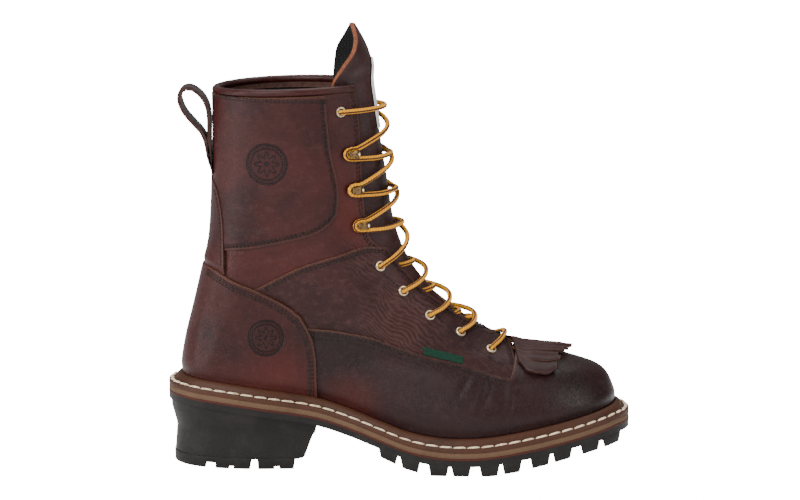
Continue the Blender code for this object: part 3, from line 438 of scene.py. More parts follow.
# %% Sheets of leather
def grid_piece(name, counts, place, thick, materials, back=False, bevel=0.35, smooth_angle=50):
    """A sheet laid by place(u, v, out), its cut edge turned down and rounded over."""
    bm = bmesh.new()
    bmesh.ops.create_grid(bm, x_segments=counts[0], y_segments=counts[1], size=0.5)
    across, along_v = bm.verts.layers.float.new("across"), bm.verts.layers.float.new("along")
    for vertex in bm.verts:
        vertex[across], vertex[along_v] = vertex.co.x + 0.5, vertex.co.y + 0.5
    front = set(bm.faces)
    made = bmesh.ops.extrude_face_region(bm, geom=list(bm.faces))["geom"]
    under = {item for item in made if isinstance(item, bmesh.types.BMVert)}
    caps = {item for item in made if isinstance(item, bmesh.types.BMFace)}
    rows = list(bm.verts)
    u = np.array([vertex[across] for vertex in rows])
    v = np.array([vertex[along_v] for vertex in rows])
    low = np.array([vertex in under for vertex in rows])
    spots = place(u, v, np.where(low, -thick, 0.0))
    for vertex, spot in zip(rows, spots):
        vertex.co = spot
    kept = [face for face in bm.faces if face not in caps]
    for face in kept:
        face.material_index = 0 if face in front else 1
    for face in caps:
        face.material_index = 2
    if not back:
        bmesh.ops.delete(bm, geom=list(caps), context="FACES")
    rim = [edge for edge in bm.edges if len(edge.link_faces) == 2
           and {face.material_index for face in edge.link_faces} == {0, 1}]
    if bevel:
        bmesh.ops.bevel(bm, geom=rim, offset=bevel * MM, segments=2, profile=0.5, affect="EDGES",
                        clamp_overlap=True, material=-1)
    if back:
        bmesh.ops.recalc_face_normals(bm, faces=list(bm.faces))
    for face in bm.faces:
        face.smooth = True
    return finish_piece(name, bm, materials, smooth_angle)


def finish_piece(name, bm, materials, smooth_angle=50):
    mesh = bpy.data.meshes.new(name)
    bm.to_mesh(mesh)
    bm.free()
    for material in materials:
        mesh.materials.append(material)
    made = bpy.data.objects.new(name, mesh)
    bpy.context.scene.collection.objects.link(made)
    mesh.set_sharp_from_angle(angle=math.radians(smooth_angle))
    return made


def wear_edges(made, reach=4.0):
    """Attribute 'wear': 1 at a piece's cut edge, fading inwards."""
    mesh = made.data
    count = len(mesh.vertices)
    spots = np.empty(count * 3)
    mesh.vertices.foreach_get("co", spots)
    spots = spots.reshape(-1, 3)
    rim = sorted({i for face in mesh.polygons if face.material_index == 1 for i in face.vertices})
    wear = np.zeros(count)
    if rim:
        tree = KDTree(len(rim))
        for i in rim:
            tree.insert(spots[i], i)
        tree.balance()
        far = np.array([tree.find(spot)[2] for spot in spots])
        wear = np.clip(1 - far / (reach * MM), 0, 1)
    layer = mesh.attributes.new("wear", "FLOAT", "POINT")
    layer.data.foreach_set("value", wear)
    return made


def mount(made, nodes):
    """Ride the one body and stand for the solids, which are hidden."""
    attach(made, "root")
    if nodes:
        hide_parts(*nodes)
    return made

# %% [markdown]
# ## Cords and copies
# A cord is a grid rolled into a tube along a path, with a frame that is carried along
# so it never twists. Small things such as stitches are made once and copied into one
# mesh, which is far lighter than hundreds of objects.

# %% Tubes
def tube(name, path, radius, sides, material):
    """A round cord along a path, with a UV map: along it, and round it."""
    path = np.asarray(path, float)
    count = len(path)
    bm = bmesh.new()
    uv = bm.loops.layers.uv.new("UVMap")
    bmesh.ops.create_grid(bm, x_segments=sides, y_segments=count - 1, size=0.5)
    ahead = np.gradient(path, axis=0)
    ahead /= np.linalg.norm(ahead, axis=1)[:, None] + 1e-12
    side = np.zeros_like(path)
    current = np.cross(ahead[0], (0.0, 0.31, 0.95))
    for i in range(count):
        current = current - ahead[i] * np.dot(current, ahead[i])
        current /= np.linalg.norm(current) + 1e-12
        side[i] = current
    up = np.cross(ahead, side)
    runs = np.r_[0, np.cumsum(np.linalg.norm(np.diff(path, axis=0), axis=1))]
    for face in bm.faces:
        face.smooth = True
        for loop in face.loops:
            i = round((loop.vert.co.y + 0.5) * (count - 1))
            loop[uv].uv = (runs[i], loop.vert.co.x + 0.5)
    for vertex in bm.verts:
        i = round((vertex.co.y + 0.5) * (count - 1))
        turn = 2 * math.pi * (vertex.co.x + 0.5)
        vertex.co = path[i] + (side[i] * math.cos(turn) + up[i] * math.sin(turn)) * radius
    bmesh.ops.remove_doubles(bm, verts=list(bm.verts), dist=1e-6)
    bmesh.ops.holes_fill(bm, edges=[edge for edge in bm.edges if edge.is_boundary], sides=sides + 1)
    bmesh.ops.recalc_face_normals(bm, faces=list(bm.faces))
    return finish_piece(name, bm, [material], 60)


def joined(name, template, places, material, smooth_angle=50):
    """Copies of a small bmesh at many places, as one mesh."""
    small = bpy.data.meshes.new(name + "_one")
    template.to_mesh(small)
    bm = bmesh.new()
    for place in places:
        copy = small.copy()
        copy.transform(place)
        bm.from_mesh(copy)
        bpy.data.meshes.remove(copy)
    bpy.data.meshes.remove(small)
    for face in bm.faces:
        face.smooth = True
    return finish_piece(name, bm, [material], smooth_angle)


def standing_on(spot, ahead, normal):
    """Matrix with X along a direction and Z along a normal."""
    normal = Vector(normal).normalized()
    ahead = Vector(ahead)
    ahead = (ahead - normal * ahead.dot(normal)).normalized()
    side = normal.cross(ahead)
    turn = Matrix((ahead, side, normal)).transposed().to_4x4()
    return Matrix.Translation(Vector(spot)) @ turn


print("creases:", len(CREASES), "tools ready")

# %% [markdown]
# ## Finishes
# Oiled pull-up leather is never one colour: wax gathers and parts, so it is mottled at
# the size of a coin, paler on raised folds, redder where it was burnished, and tan
# where it was cut. The paleness on the folds is partly the wax parting there and partly
# a painted highlight along the ridges. The shared effects are node groups of masks,
# colours and heights; each material mixes them on its own shader.


# %% A short hand for nodes
class Bench:
    """Adds nodes to a tree and links them."""

    def __init__(self, tree):
        self.tree = tree

    def add(self, kind, values=(), **options):
        node = self.tree.nodes.new("ShaderNode" + kind)
        for key, value in options.items():
            setattr(node, key, value)
        for key, value in dict(values).items():
            socket = node.inputs[key]
            if isinstance(value, bpy.types.NodeSocket):
                self.tree.links.new(value, socket)
            else:
                socket.default_value = value
        return node

    def math(self, operation, a, b=0.0):
        return self.add("Math", {0: a, 1: b}, operation=operation).outputs[0]

    def place(self, scale=(1, 1, 1), turn=(0, 0, 0)):
        spot = self.add("TexCoord").outputs["Object"]
        return self.add("Mapping", {"Vector": spot, "Scale": scale, "Rotation": turn}).outputs[0]

    def noise(self, scale, detail=3.0, rough=0.55, twist=0.0, vector=None):
        vector = vector or self.place()
        made = self.add("TexNoise", {"Vector": vector, "Scale": scale, "Detail": detail,
                                     "Roughness": rough, "Distortion": twist})
        return made.outputs["Fac"]

    def ramp(self, value, low, high, bottom=0.0, top=1.0):
        made = self.add("MapRange", {0: value, 1: low, 2: high, 3: bottom, 4: top},
                        interpolation_type="SMOOTHSTEP")
        return made.outputs[0]

    def mix(self, share, a, b):
        made = self.add("Mix", {0: share}, data_type="RGBA")
        for socket, value in ((made.inputs[6], a), (made.inputs[7], b)):
            if isinstance(value, bpy.types.NodeSocket):
                self.tree.links.new(value, socket)
            else:
                socket.default_value = (*value, 1.0)
        return made.outputs[2]

    def spot(self, middle, reach):
        """1 at a point of the boot, fading to 0 at a reach."""
        here = self.add("TexCoord").outputs["Object"]
        far = self.add("VectorMath", {0: here, 1: middle}, operation="DISTANCE").outputs["Value"]
        return self.ramp(far, reach * 0.25, reach, 1.0, 0.0)

    def out(self, name, value):
        kind = "NodeSocketColor" if value.type == "RGBA" else "NodeSocketFloat"
        self.tree.interface.new_socket(name=name, in_out="OUTPUT", socket_type=kind)
        target = next((n for n in self.tree.nodes if n.bl_idname == "NodeGroupOutput"), None)
        target = target or self.tree.nodes.new("NodeGroupOutput")
        self.tree.links.new(value, target.inputs[name])


def shared(name):
    return Bench(bpy.data.node_groups.new(name, "ShaderNodeTree"))


def use(bench, group, output):
    node = bench.tree.nodes.new("ShaderNodeGroup")
    node.node_tree = group
    return node.outputs[output]


def finish(name, roughness=0.5, coat=0.0, metallic=0.0, specular=0.5):
    """A new Principled material and the bench to dress it."""
    made = plain_material(name, (0.1, 0.1, 0.1), roughness, metallic)
    shader = made.node_tree.nodes["Principled BSDF"]
    shader.inputs["Coat Weight"].default_value = coat
    shader.inputs["Coat Roughness"].default_value = 0.35
    shader.inputs["Specular IOR Level"].default_value = specular
    return made, shader, Bench(made.node_tree)


def bump(bench, shader, height, depth):
    """Height, 0 to 1, as relief of a depth in millimetres."""
    made = bench.add("Bump", {"Height": height, "Distance": depth * MM, "Strength": 1.0})
    bench.tree.links.new(made.outputs["Normal"], shader.inputs["Normal"])

# %% [markdown]
# ## Shared masks and heights
# Mottling, grain, wrinkles and the stamped ring are node groups. They put out masks and
# heights alone, and every leather mixes them with its own colours.

# %% Shared masks and heights
mottle = shared("wax mottling")
coarse = mottle.noise(17, 4, 0.55, 0.3)
fine = mottle.noise(210, 4, 0.62)
mottle.out("Patches", mottle.ramp(coarse, 0.30, 0.64))
mottle.out("Flecks", mottle.ramp(fine, 0.48, 0.74))
streak = mottle.noise(60, 5, 0.7, 0.4, mottle.place((1.0, 1.0, 3.2), (0, 0.35, 0)))
mottle.out("Streaks", mottle.ramp(streak, 0.50, 0.72))

grain = shared("leather grain")
cells = grain.add("TexVoronoi", {"Vector": grain.place(), "Scale": 900.0, "Randomness": 1.0},
                  feature="DISTANCE_TO_EDGE").outputs["Distance"]
pebble = grain.ramp(cells, 0.0, 0.25)
nap = grain.noise(2400, 3, 0.6)
soft = grain.noise(330, 4, 0.6)
fine_height = grain.math("ADD", grain.math("MULTIPLY", nap, 0.2), grain.math("MULTIPLY", soft, 0.6))
grain.out("Height", grain.math("ADD", grain.math("MULTIPLY", pebble, 0.45), fine_height))

# middle of a patch of folds in metres, its reach in metres and its strength
FOLD_SPOTS = (
    ((0.112, -0.035, 0.098), 0.042, 1.0),
    ((0.112, 0.035, 0.098), 0.042, 1.0),
    ((0.086, -0.03, 0.140), 0.022, 0.7),
    ((0.160, -0.035, 0.060), 0.035, 0.2),
)
FOLD_TURN = math.radians(-38)

# the wrinkle lines give bump, and in the leathers also a paler colour that is partly a painted highlight
wrinkle = shared("fine wrinkles")
bent = wrinkle.add("TexNoise", {"Vector": wrinkle.place((1, 0.5, 1)), "Scale": 55.0,
                                "Detail": 2.0}).outputs["Color"]
shift = wrinkle.add("VectorMath", {0: bent, 1: (0.012, 0.012, 0.012)}, operation="MULTIPLY").outputs[0]
spot_at = wrinkle.add("VectorMath", {0: wrinkle.place(), 1: shift}, operation="ADD").outputs[0]
turned = wrinkle.add("Mapping", {"Vector": spot_at, "Rotation": (0, FOLD_TURN, 0)}).outputs[0]
lines = wrinkle.add("TexWave", {"Vector": turned, "Scale": 120.0, "Distortion": 1.9, "Detail": 3.0,
                                "Detail Scale": 1.6}, bands_direction="Z").outputs["Fac"]
flex = 0.0
for middle, reach, strength in FOLD_SPOTS:
    patch_of_folds = wrinkle.math("MULTIPLY", wrinkle.spot(middle, reach), strength)
    flex = wrinkle.math("MAXIMUM", flex, patch_of_folds)
wrinkle.out("Lines", wrinkle.math("MULTIPLY", wrinkle.ramp(lines, 0.15, 0.95), flex))


def tooled_ring(name, x, z, radius):
    """Height of a stamped ring with a rosette, seen square from the side."""
    made = shared(name)
    axes = made.add("SeparateXYZ", {0: made.add("TexCoord").outputs["Object"]})
    right = made.math("SUBTRACT", axes.outputs[0], x)
    up = made.math("SUBTRACT", axes.outputs[2], z)
    squares = made.math("ADD", made.math("MULTIPLY", right, right), made.math("MULTIPLY", up, up))
    far = made.math("DIVIDE", made.math("SQRT", squares), radius)
    turn = made.math("ARCTAN2", up, right)
    petals = made.math("MULTIPLY", made.math("COSINE", made.math("MULTIPLY", turn, 8.0)), 0.13)

    def ring_at(middle, full, gone):
        """1 where the distance is close to a middle, fading between two widths."""
        off = made.math("ABSOLUTE", made.math("SUBTRACT", far, middle))
        return made.ramp(off, full, gone, 1.0, 0.0)

    bloom = ring_at(made.math("ADD", petals, 0.42), 0.03, 0.075)
    dots = made.ramp(made.math("COSINE", made.math("MULTIPLY", turn, 36.0)), -0.2, 0.4)
    beads = made.math("MULTIPLY", made.math("MULTIPLY", dots, ring_at(0.84, 0.03, 0.06)), 0.7)
    total = made.ramp(far, 0.09, 0.14, 1.0, 0.0)
    for mark in (bloom, beads, ring_at(0.94, 0.02, 0.06), ring_at(0.74, 0.01, 0.04)):
        total = made.math("MAXIMUM", total, mark)
    near = made.ramp(axes.outputs[1], -0.004, -0.012, 0.0, 1.0)
    made.out("Cut", made.math("MULTIPLY", total, near))
    made.out("Field", made.math("MULTIPLY", made.ramp(far, 0.97, 1.03, 1.0, 0.0), near))
    return made.tree


shaft_ring = tooled_ring("shaft rosette", 0.0235, 0.2028, 0.0140)
heel_ring = tooled_ring("counter rosette", 0.0220, 0.0870, 0.0122)
print("shared effects:", sorted(group.name for group in bpy.data.node_groups))

# %% Colours of the hide

DEEP = (0.0110, 0.0019, 0.0018)
MIDDLE_BROWN = (0.0300, 0.0049, 0.0044)
PALE = (0.085, 0.030, 0.023)
RED = (0.062, 0.0078, 0.0045)
RUBBED = (0.070, 0.026, 0.017)
STAMPED = (0.0030, 0.0016, 0.0014)
CUT_TAN = (0.120, 0.058, 0.030)
print("hide: from", DEEP, "to", MIDDLE_BROWN)

# %% [markdown]
# ## Leathers
# One recipe serves all the hides. They differ by how dark and how glossy they are, and
# by the places that were burnished red.

# %% Leathers
LEATHER_SPECULAR = 0.16
EDGE_WEAR = 0.45


def oiled(name, dark, body, light, roughness=0.42, red_spots=(), ring=None, sheen=0.04):
    """Oiled leather: mottled, wrinkled, rubbed at its edges, and stamped where it has a ring."""
    made, shader, bench = finish(name, roughness, coat=sheen, specular=LEATHER_SPECULAR)
    patches, flecks = use(bench, mottle.tree, "Patches"), use(bench, mottle.tree, "Flecks")
    streaks, folds = use(bench, mottle.tree, "Streaks"), use(bench, wrinkle.tree, "Lines")
    colour = bench.mix(patches, dark, body)
    colour = bench.mix(bench.math("MULTIPLY", streaks, 0.11), colour, light)
    # paler along the fold lines: partly wax parted on the ridges, partly a painted highlight
    colour = bench.mix(bench.math("MULTIPLY", folds, 0.18), colour, light)
    colour = bench.mix(bench.math("MULTIPLY", flecks, 0.16), colour, light)
    for middle, reach, share in red_spots:
        colour = bench.mix(bench.math("MULTIPLY", bench.spot(middle, reach), share), colour, RED)
    edge = bench.add("Attribute", attribute_name="wear").outputs["Fac"]
    rub = bench.math("MULTIPLY", bench.math("POWER", edge, 3.0), EDGE_WEAR)
    colour = bench.mix(rub, colour, RUBBED)
    height = bench.math("ADD", use(bench, grain.tree, "Height"), bench.math("MULTIPLY", folds, 2.4))
    height = bench.math("ADD", height, bench.math("MULTIPLY", bench.noise(16, 3, 0.5), 1.2))
    if ring:
        cut = use(bench, ring, "Cut")
        colour = bench.mix(bench.math("MULTIPLY", use(bench, ring, "Field"), 0.35), colour, dark)
        colour = bench.mix(bench.math("MULTIPLY", cut, 0.85), colour, STAMPED)
        height = bench.math("SUBTRACT", height, bench.math("MULTIPLY", cut, 4.0))
    bench.tree.links.new(colour, shader.inputs["Base Color"])
    gloss = bench.math("ADD", bench.math("MULTIPLY", patches, 0.08), bench.math("MULTIPLY", flecks, 0.10))
    bench.tree.links.new(bench.math("ADD", gloss, roughness - 0.07), shader.inputs["Roughness"])
    bump(bench, shader, height, 0.13)
    return made


shaft_leather = oiled("shaft leather", DEEP, MIDDLE_BROWN, PALE, 0.44, ring=shaft_ring)
base_leather = oiled(
    "throat leather", (0.0140, 0.0026, 0.0023), (0.0340, 0.0056, 0.0046), (0.085, 0.026, 0.019), 0.38,
    red_spots=(((0.082, -0.03, 0.175), 0.035, 0.5), ((0.03, -0.045, 0.138), 0.03, 0.2)))
quarter_leather = oiled("quarter leather", DEEP, (0.0230, 0.0048, 0.0043), (0.100, 0.048, 0.040), 0.42)
counter_leather = oiled(
    "counter leather", DEEP, MIDDLE_BROWN, PALE, 0.40, ring=heel_ring,
    red_spots=(((0.028, -0.042, 0.052), 0.045, 0.4), ((-0.02, -0.02, 0.06), 0.035, 0.2)))
vamp_leather = oiled(
    "vamp leather", (0.0068, 0.0015, 0.0014), (0.0125, 0.0028, 0.0026), (0.040, 0.020, 0.018), 0.34,
    red_spots=(((0.075, -0.045, 0.045), 0.03, 0.35),), sheen=0.05)
flap_leather = oiled(
    "flap leather", (0.0100, 0.0032, 0.0030), (0.0200, 0.0062, 0.0056), (0.060, 0.034, 0.029), 0.56)
tongue_leather = oiled(
    "tongue leather", (0.0120, 0.0034, 0.0031), (0.0280, 0.0078, 0.0072), (0.070, 0.040, 0.036), 0.38)
print("leathers:", sum("leather" in material.name for material in bpy.data.materials))

# %% [markdown]
# ## Cut edges and lining
# A cut edge shows the tan heart of the hide, fuzzy and dull, with no wax on it. The
# mesh lining is a tight row of small holes. Both are cheap: one noise or one cell
# pattern, because they are seen only as thin lines or in deep shade.


# %% Cut edges and lining
def cut_edge(name, colour, dark):
    """A dull fibrous surface of two tones, also used for thread and cloth."""
    made, shader, bench = finish(name, 0.75, specular=0.2)
    shade = bench.mix(bench.ramp(bench.noise(420, 4, 0.6), 0.35, 0.7), colour, dark)
    bench.tree.links.new(shade, shader.inputs["Base Color"])
    bump(bench, shader, bench.noise(1500, 3), 0.12)
    return made


raw_edge = cut_edge("raw tan edge", CUT_TAN, (0.062, 0.027, 0.016))
dark_edge = cut_edge("dark cut edge", (0.040, 0.017, 0.012), (0.014, 0.006, 0.005))
suede_edge = cut_edge("orange suede edge", (0.170, 0.052, 0.020), (0.090, 0.026, 0.012))
inner_leather = cut_edge("inner leather band", (0.060, 0.026, 0.018), (0.030, 0.013, 0.010))

lining_mesh, shader, bench = finish("black mesh lining", 0.85, specular=0.25)
weave = bench.add("TexVoronoi", {"Vector": bench.place(), "Scale": 520.0,
                                 "Randomness": 0.15}).outputs["Distance"]
bench.tree.links.new(bench.mix(bench.ramp(weave, 0.2, 0.5), (0.014, 0.013, 0.013), (0.003, 0.003, 0.003)),
                     shader.inputs["Base Color"])
bump(bench, shader, weave, 0.35)
print("edges and lining mixed")

# %% [markdown]
# ## Rubber, welt and thread
# Rubber, waxed welt and sanded board all share one recipe: a base tone, a paler or
# darker dust over it in clouds, and long scuffs that run round the sole.


# %% Rubber, welt and thread
def rubbery(name, base, dust, roughness, depth):
    """A scuffed material of a base tone with dust in clouds."""
    made, shader, bench = finish(name, roughness, specular=0.15)
    dusty = bench.ramp(bench.noise(45, 6, 0.65, 0.5), 0.45, 0.75)
    shade = bench.mix(bench.math("MULTIPLY", dusty, 0.5), base, dust)
    bench.tree.links.new(shade, shader.inputs["Base Color"])
    scuff = bench.noise(160, 5, 0.6, 0.0, bench.place((1, 1, 5)))
    bump(bench, shader, bench.math("ADD", bench.noise(900, 3), scuff), depth)
    return made


rubber = rubbery("sole rubber", (0.0085, 0.0072, 0.0064), (0.022, 0.019, 0.0165), 0.5, 0.16)
board_edge = rubbery("sanded board edge", (0.088, 0.050, 0.028), (0.045, 0.022, 0.012), 0.7, 0.2)
red_line = rubbery("red brown mid line", (0.045, 0.010, 0.006), (0.022, 0.006, 0.004), 0.6, 0.1)
welt_leather = rubbery("waxed welt", (0.045, 0.0165, 0.0082), (0.017, 0.0070, 0.0042), 0.48, 0.18)
thread_dark = cut_edge("dark waxed thread", (0.0050, 0.0032, 0.0028), (0.018, 0.010, 0.008))
thread_cream = cut_edge("cream welt thread", (0.680, 0.560, 0.400), (0.380, 0.280, 0.180))
print("sole finishes:", rubber.name, board_edge.name, red_line.name, welt_leather.name)

# %% [markdown]
# ## Brass
# The eyelets are pale and nearly even. The hooks are brass stained in patches and also
# painted dark, which is painted shade; their ball is a paler, brighter brass, which is
# a painted highlight. A stain mask drives both the colour and the roughness, because
# tarnish is dull where it is dark.

# %% Brass

def metal(name, colour, dull, roughness, metallic=1.0):
    made, shader, bench = finish(name, roughness, metallic=metallic)
    stain = bench.ramp(bench.noise(420, 5, 0.65), 0.42, 0.66)
    bench.tree.links.new(bench.mix(stain, colour, dull), shader.inputs["Base Color"])
    bench.tree.links.new(bench.ramp(stain, 0, 1, roughness, roughness + 0.25), shader.inputs["Roughness"])
    return made


pale_brass = metal("pale enamelled brass", (0.62, 0.50, 0.33), (0.34, 0.25, 0.14), 0.30, 0.8)
# the hooks' brass: stained in patches, and dark overall as painted shade
stained_and_shaded_brass = metal("stained brass with painted shade", (0.17, 0.105, 0.045), (0.035, 0.020, 0.011), 0.30)
# the hook balls' brass: its brightness is a painted highlight
painted_highlight_brass = metal("brass with painted highlight", (0.95, 0.86, 0.66), (0.80, 0.66, 0.42), 0.16)
hole_black = plain_material("eyelet shadow", (0.004, 0.004, 0.004), 0.9)
print("metals:", pale_brass.name, stained_and_shaded_brass.name, painted_highlight_brass.name)

# %% [markdown]
# ## Lace and labels
# The lace is gold with dark strands. Its tube has a UV map that counts metres along it
# and turns round it, so the strands run with the cord however it bends. The labels are
# bare woven cloth.

# %% Lace and labels
GOLD_DARK = (0.40, 0.150, 0.002)
GOLD_LIGHT = (0.66, 0.285, 0.004)
STRIPE_BROWN = (0.040, 0.012, 0.005)
LACE_STRIPES = 3.0

lace_cord, shader, bench = finish("braided lace", 0.6, specular=0.15)
shader.inputs["Sheen Weight"].default_value = 0.05
along_and_round = bench.add("SeparateXYZ", {0: bench.add("UVMap", uv_map="UVMap").outputs[0]})
along_lace, round_lace = along_and_round.outputs[:2]
weave = bench.add("CombineXYZ", {0: bench.math("MULTIPLY", along_lace, 520.0),
                                 1: bench.math("MULTIPLY", round_lace, 4.0)}).outputs[0]
strands = bench.add("TexWave", {"Vector": weave, "Scale": 0.55, "Distortion": 0.6, "Detail": 1.0},
                    bands_direction="DIAGONAL").outputs["Fac"]
turn_share = bench.math("FRACT", bench.math("MULTIPLY", round_lace, LACE_STRIPES))
off = bench.math("ABSOLUTE", bench.math("SUBTRACT", turn_share, 0.5))
stripe = bench.ramp(bench.math("ADD", off, bench.math("MULTIPLY", strands, 0.04)), 0.17, 0.22, 1.0, 0.0)
gold = bench.mix(strands, GOLD_DARK, GOLD_LIGHT)
bench.tree.links.new(bench.mix(stripe, gold, STRIPE_BROWN), shader.inputs["Base Color"])
bump(bench, shader, strands, 0.2)

label_cloth, shader, bench = finish("green label cloth", 0.7, specular=0.15)
threads = bench.ramp(bench.noise(1200, 3), 0.3, 0.7)
bench.tree.links.new(bench.mix(threads, (0.0008, 0.0110, 0.0055), (0.0020, 0.0300, 0.0150)),
                     shader.inputs["Base Color"])
bump(bench, shader, bench.noise(2600, 2), 0.15)
white_cloth = cut_edge("bare white label", (0.62, 0.62, 0.60), (0.48, 0.48, 0.47))
print("finishes:", len(bpy.data.materials), "materials,", len(bpy.data.node_groups), "shared groups")

# %% [markdown]
# ## The panels
# Each panel is laid between its four seams. Where it runs under a neighbour it sinks a
# little, so that the neighbour's cut tan edge stands over it and catches the light.

# %% Lines on the last
BASE = -1.9 * MM
SUNK = 1.25 * MM
WELT_LEVEL = 0.6
PANEL_TOP = 10.82


def traced(line, inner=False, wrap=False):
    """Angle and level of a side-view line; wrapped lines run past the back instead."""
    angle, level = locate(line[:, 0], line[:, 1])
    if inner:
        angle = -angle if wrap else 2 * math.pi - angle
    return np.column_stack((angle, level))


def level_line(angle_low, angle_high, level, count=80):
    return np.column_stack((np.linspace(angle_low, angle_high, count), np.full(count, level)))


def behind_counter(x, z):
    """1 under the counter and at its edge, fading in front of it."""
    rows = counter_line[np.argsort(counter_line[:, 1])]
    inside = x < np.interp(z, rows[:, 1], rows[:, 0])
    return np.where(inside, 1.0, nearness(x, z, counter_line, 5 * MM))


def under_vamp(x, z):
    inside = z < np.interp(x, vamp_line[:, 0], vamp_line[:, 1])
    return np.where(inside, 1.0, nearness(x, z, vamp_line, 6 * MM))


def shares(angle, level):
    spots = skin(angle, level)
    return (spots[:, 0] + HEEL_CENTRE) / SOLE_LENGTH, spots[:, 2] / BOOT_HEIGHT

# %% [markdown]
# ## Quarters
# A quarter wraps each side of the instep and ends in the facing with the eyelets. The
# same function makes both sides, because the last itself tells outer from inner.

# %% Quarters
open_rim = np.vstack((quarter_line, smooth(THROAT_LOW), facing_line))


def quarter_place(inner):
    low = vamp_line - (0, 0.024)
    low[0] = (0.300, 0.345)
    back = np.linspace((0.180, 0.455), low[0], 40)
    front = np.vstack((facing_line[::-1], smooth(THROAT_LOW)[::-1]))
    front[0] = low[-1]
    front = resample(front, 160)
    rear = resample(np.vstack((low[:1], back[::-1], quarter_line[:1])), 60)

    def place(u, v, out):
        spots = patch(low, quarter_line, rear, front, u, v)
        angle, level = locate(spots[:, 0], spots[:, 1], inner)
        sunk = np.maximum(behind_counter(*spots.T), under_vamp(*spots.T)) * SUNK
        sunk = np.maximum(sunk, nearness(*spots.T, open_rim, 4 * MM) * 0.5 * MM)
        return dressed(angle, level, out - sunk)

    return place


for inner, side in ((False, "lateral"), (True, "medial")):
    made = grid_piece("quarter_leather_" + side, (150, 90), quarter_place(inner), 1.8 * MM,
                      [quarter_leather, raw_edge])
    mount(wear_edges(made), ["quarter_" + side])
    print(made.name, len(made.data.polygons), "faces")

# %% [markdown]
# ## Side panels
# A panel on each side of the shaft, with a round lower front corner. It is laid in the
# last's own angle and level, so that its rows run round the leg as the real hide does.


# %% Side panels
def side_place(inner):
    low, front = traced(smooth(PANEL_LOW)), traced(smooth(PANEL_FRONT))
    low = np.vstack(((0.012, low[0, 1]), low))
    back = np.column_stack((np.full(40, 0.012), np.linspace(low[0, 1], PANEL_TOP, 40)))
    front[:, 1] = np.minimum(front[:, 1], PANEL_TOP)
    top = level_line(0.012, front[-1, 0], PANEL_TOP)

    def place(u, v, out):
        angle, level = patch(resample(low, 80), top, back, front, u, v).T
        sunk = nearness(*shares(angle, level), panel_line, 4.5 * MM) * 0.55 * MM
        return dressed(-angle if inner else angle, level, out - sunk)

    return place


for inner, side in ((False, "lateral"), (True, "medial")):
    made = grid_piece("side_leather_" + side, (90, 100), side_place(inner), 1.8 * MM,
                      [shaft_leather, raw_edge])
    mount(wear_edges(made), ["side_panel_" + side])
    print(made.name, len(made.data.polygons), "faces")

# %% [markdown]
# ## Counter
# The stiff cup round the heel is one piece from side to side, so its sheet crosses
# angle 0. It lies over the quarters and the vamp, and stands 0.5 mm proud of them.


# %% Counter
def counter_place(u, v, out):
    outer, inner = traced(smooth(COUNTER_FRONT)), traced(smooth(COUNTER_FRONT), True, True)
    top_outer = traced(smooth(COUNTER_TOP))
    top = resample(np.vstack((top_outer[::-1] * (-1, 1), top_outer)), 200)
    start, end = inner[0, 0], outer[0, 0]
    bottom = level_line(start, end, WELT_LEVEL)
    outer, inner = np.vstack((bottom[-1:], outer)), np.vstack((bottom[:1], inner))
    angle, level = patch(bottom, top, resample(inner, 80), resample(outer, 80), u, v).T
    return dressed(angle, level, out + 0.5 * MM)


made = grid_piece("counter_leather", (190, 70), counter_place, 2.1 * MM, [counter_leather, raw_edge])
mount(wear_edges(made), ["counter"])
print(made.name, len(made.data.polygons), "faces")

# %% [markdown]
# ## Backstay
# A strip up the back seam, wide at the counter and narrow at the loop. Its half width
# at each height is read from the seam table, and it dips to go under the counter.


# %% Backstay
def stay_place(u, v, out):
    edge = traced(smooth(STAY_EDGE))
    edge[:, 0] = np.maximum(edge[:, 0], 0.14)
    angle = (2 * u - 1) * np.interp(v, np.linspace(0, 1, len(edge)), edge[:, 0])
    level = np.interp(v, np.linspace(0, 1, len(edge)), edge[:, 1])
    x, z = shares(np.abs(angle), level)
    return dressed(angle, level, out + 0.7 * MM - behind_counter(x, z) * 1.4 * MM)


made = grid_piece("backstay_leather", (40, 60), stay_place, 1.6 * MM, [shaft_leather, dark_edge])
mount(wear_edges(made), ["backstay"])
print(made.name, len(made.data.polygons), "faces")

# %% [markdown]
# ## Vamp
# The vamp goes over the toe from one side to the other and under the quarters. Each
# column of its sheet starts at the welt and ends at the vamp's rim for that angle, so
# one grid covers the whole toe without a pole.

# %% Vamp
ridge_level = 4.95
vamp_outer = traced(vamp_line)
vamp_front = traced(smooth(((0.738, 0.242), (0.748, 0.285), (0.756, 0.340))))
vamp_rim = np.vstack((vamp_outer, vamp_front, ((math.pi - 0.35, ridge_level), (math.pi, ridge_level))))
vamp_rim = vamp_rim[np.argsort(vamp_rim[:, 0])]


def vamp_place(u, v, out):
    start = vamp_rim[0, 0] - 0.17
    angle = start + u * 2 * (math.pi - start)
    half = np.minimum(angle, 2 * math.pi - angle)
    rim_level = np.interp(half, vamp_rim[:, 0], vamp_rim[:, 1])
    level = WELT_LEVEL + (rim_level - WELT_LEVEL) * v
    x, z = shares(angle, level)
    return dressed(angle, level, out - behind_counter(x, z) * 1.0 * MM)


made = grid_piece("vamp_leather", (300, 70), vamp_place, 1.5 * MM, [vamp_leather, raw_edge])
mount(wear_edges(made), ["vamp"])
print(made.name, len(made.data.polygons), "faces")

# %% [markdown]
# ## Throat and lining
# Under the panels lies one hide that is open down the front. The edge of the throat is
# found once for a row of levels, and the sheet stops there on both sides. The lining
# is the same sheet, 4 mm further in, with a leather band at its top.

# %% Throat and lining
steps = np.linspace(0.5, 1, 400)
throat_sides = np.vstack((((0.407, 1.150),), throat_line[::-1], smooth(THROAT_LOW)))


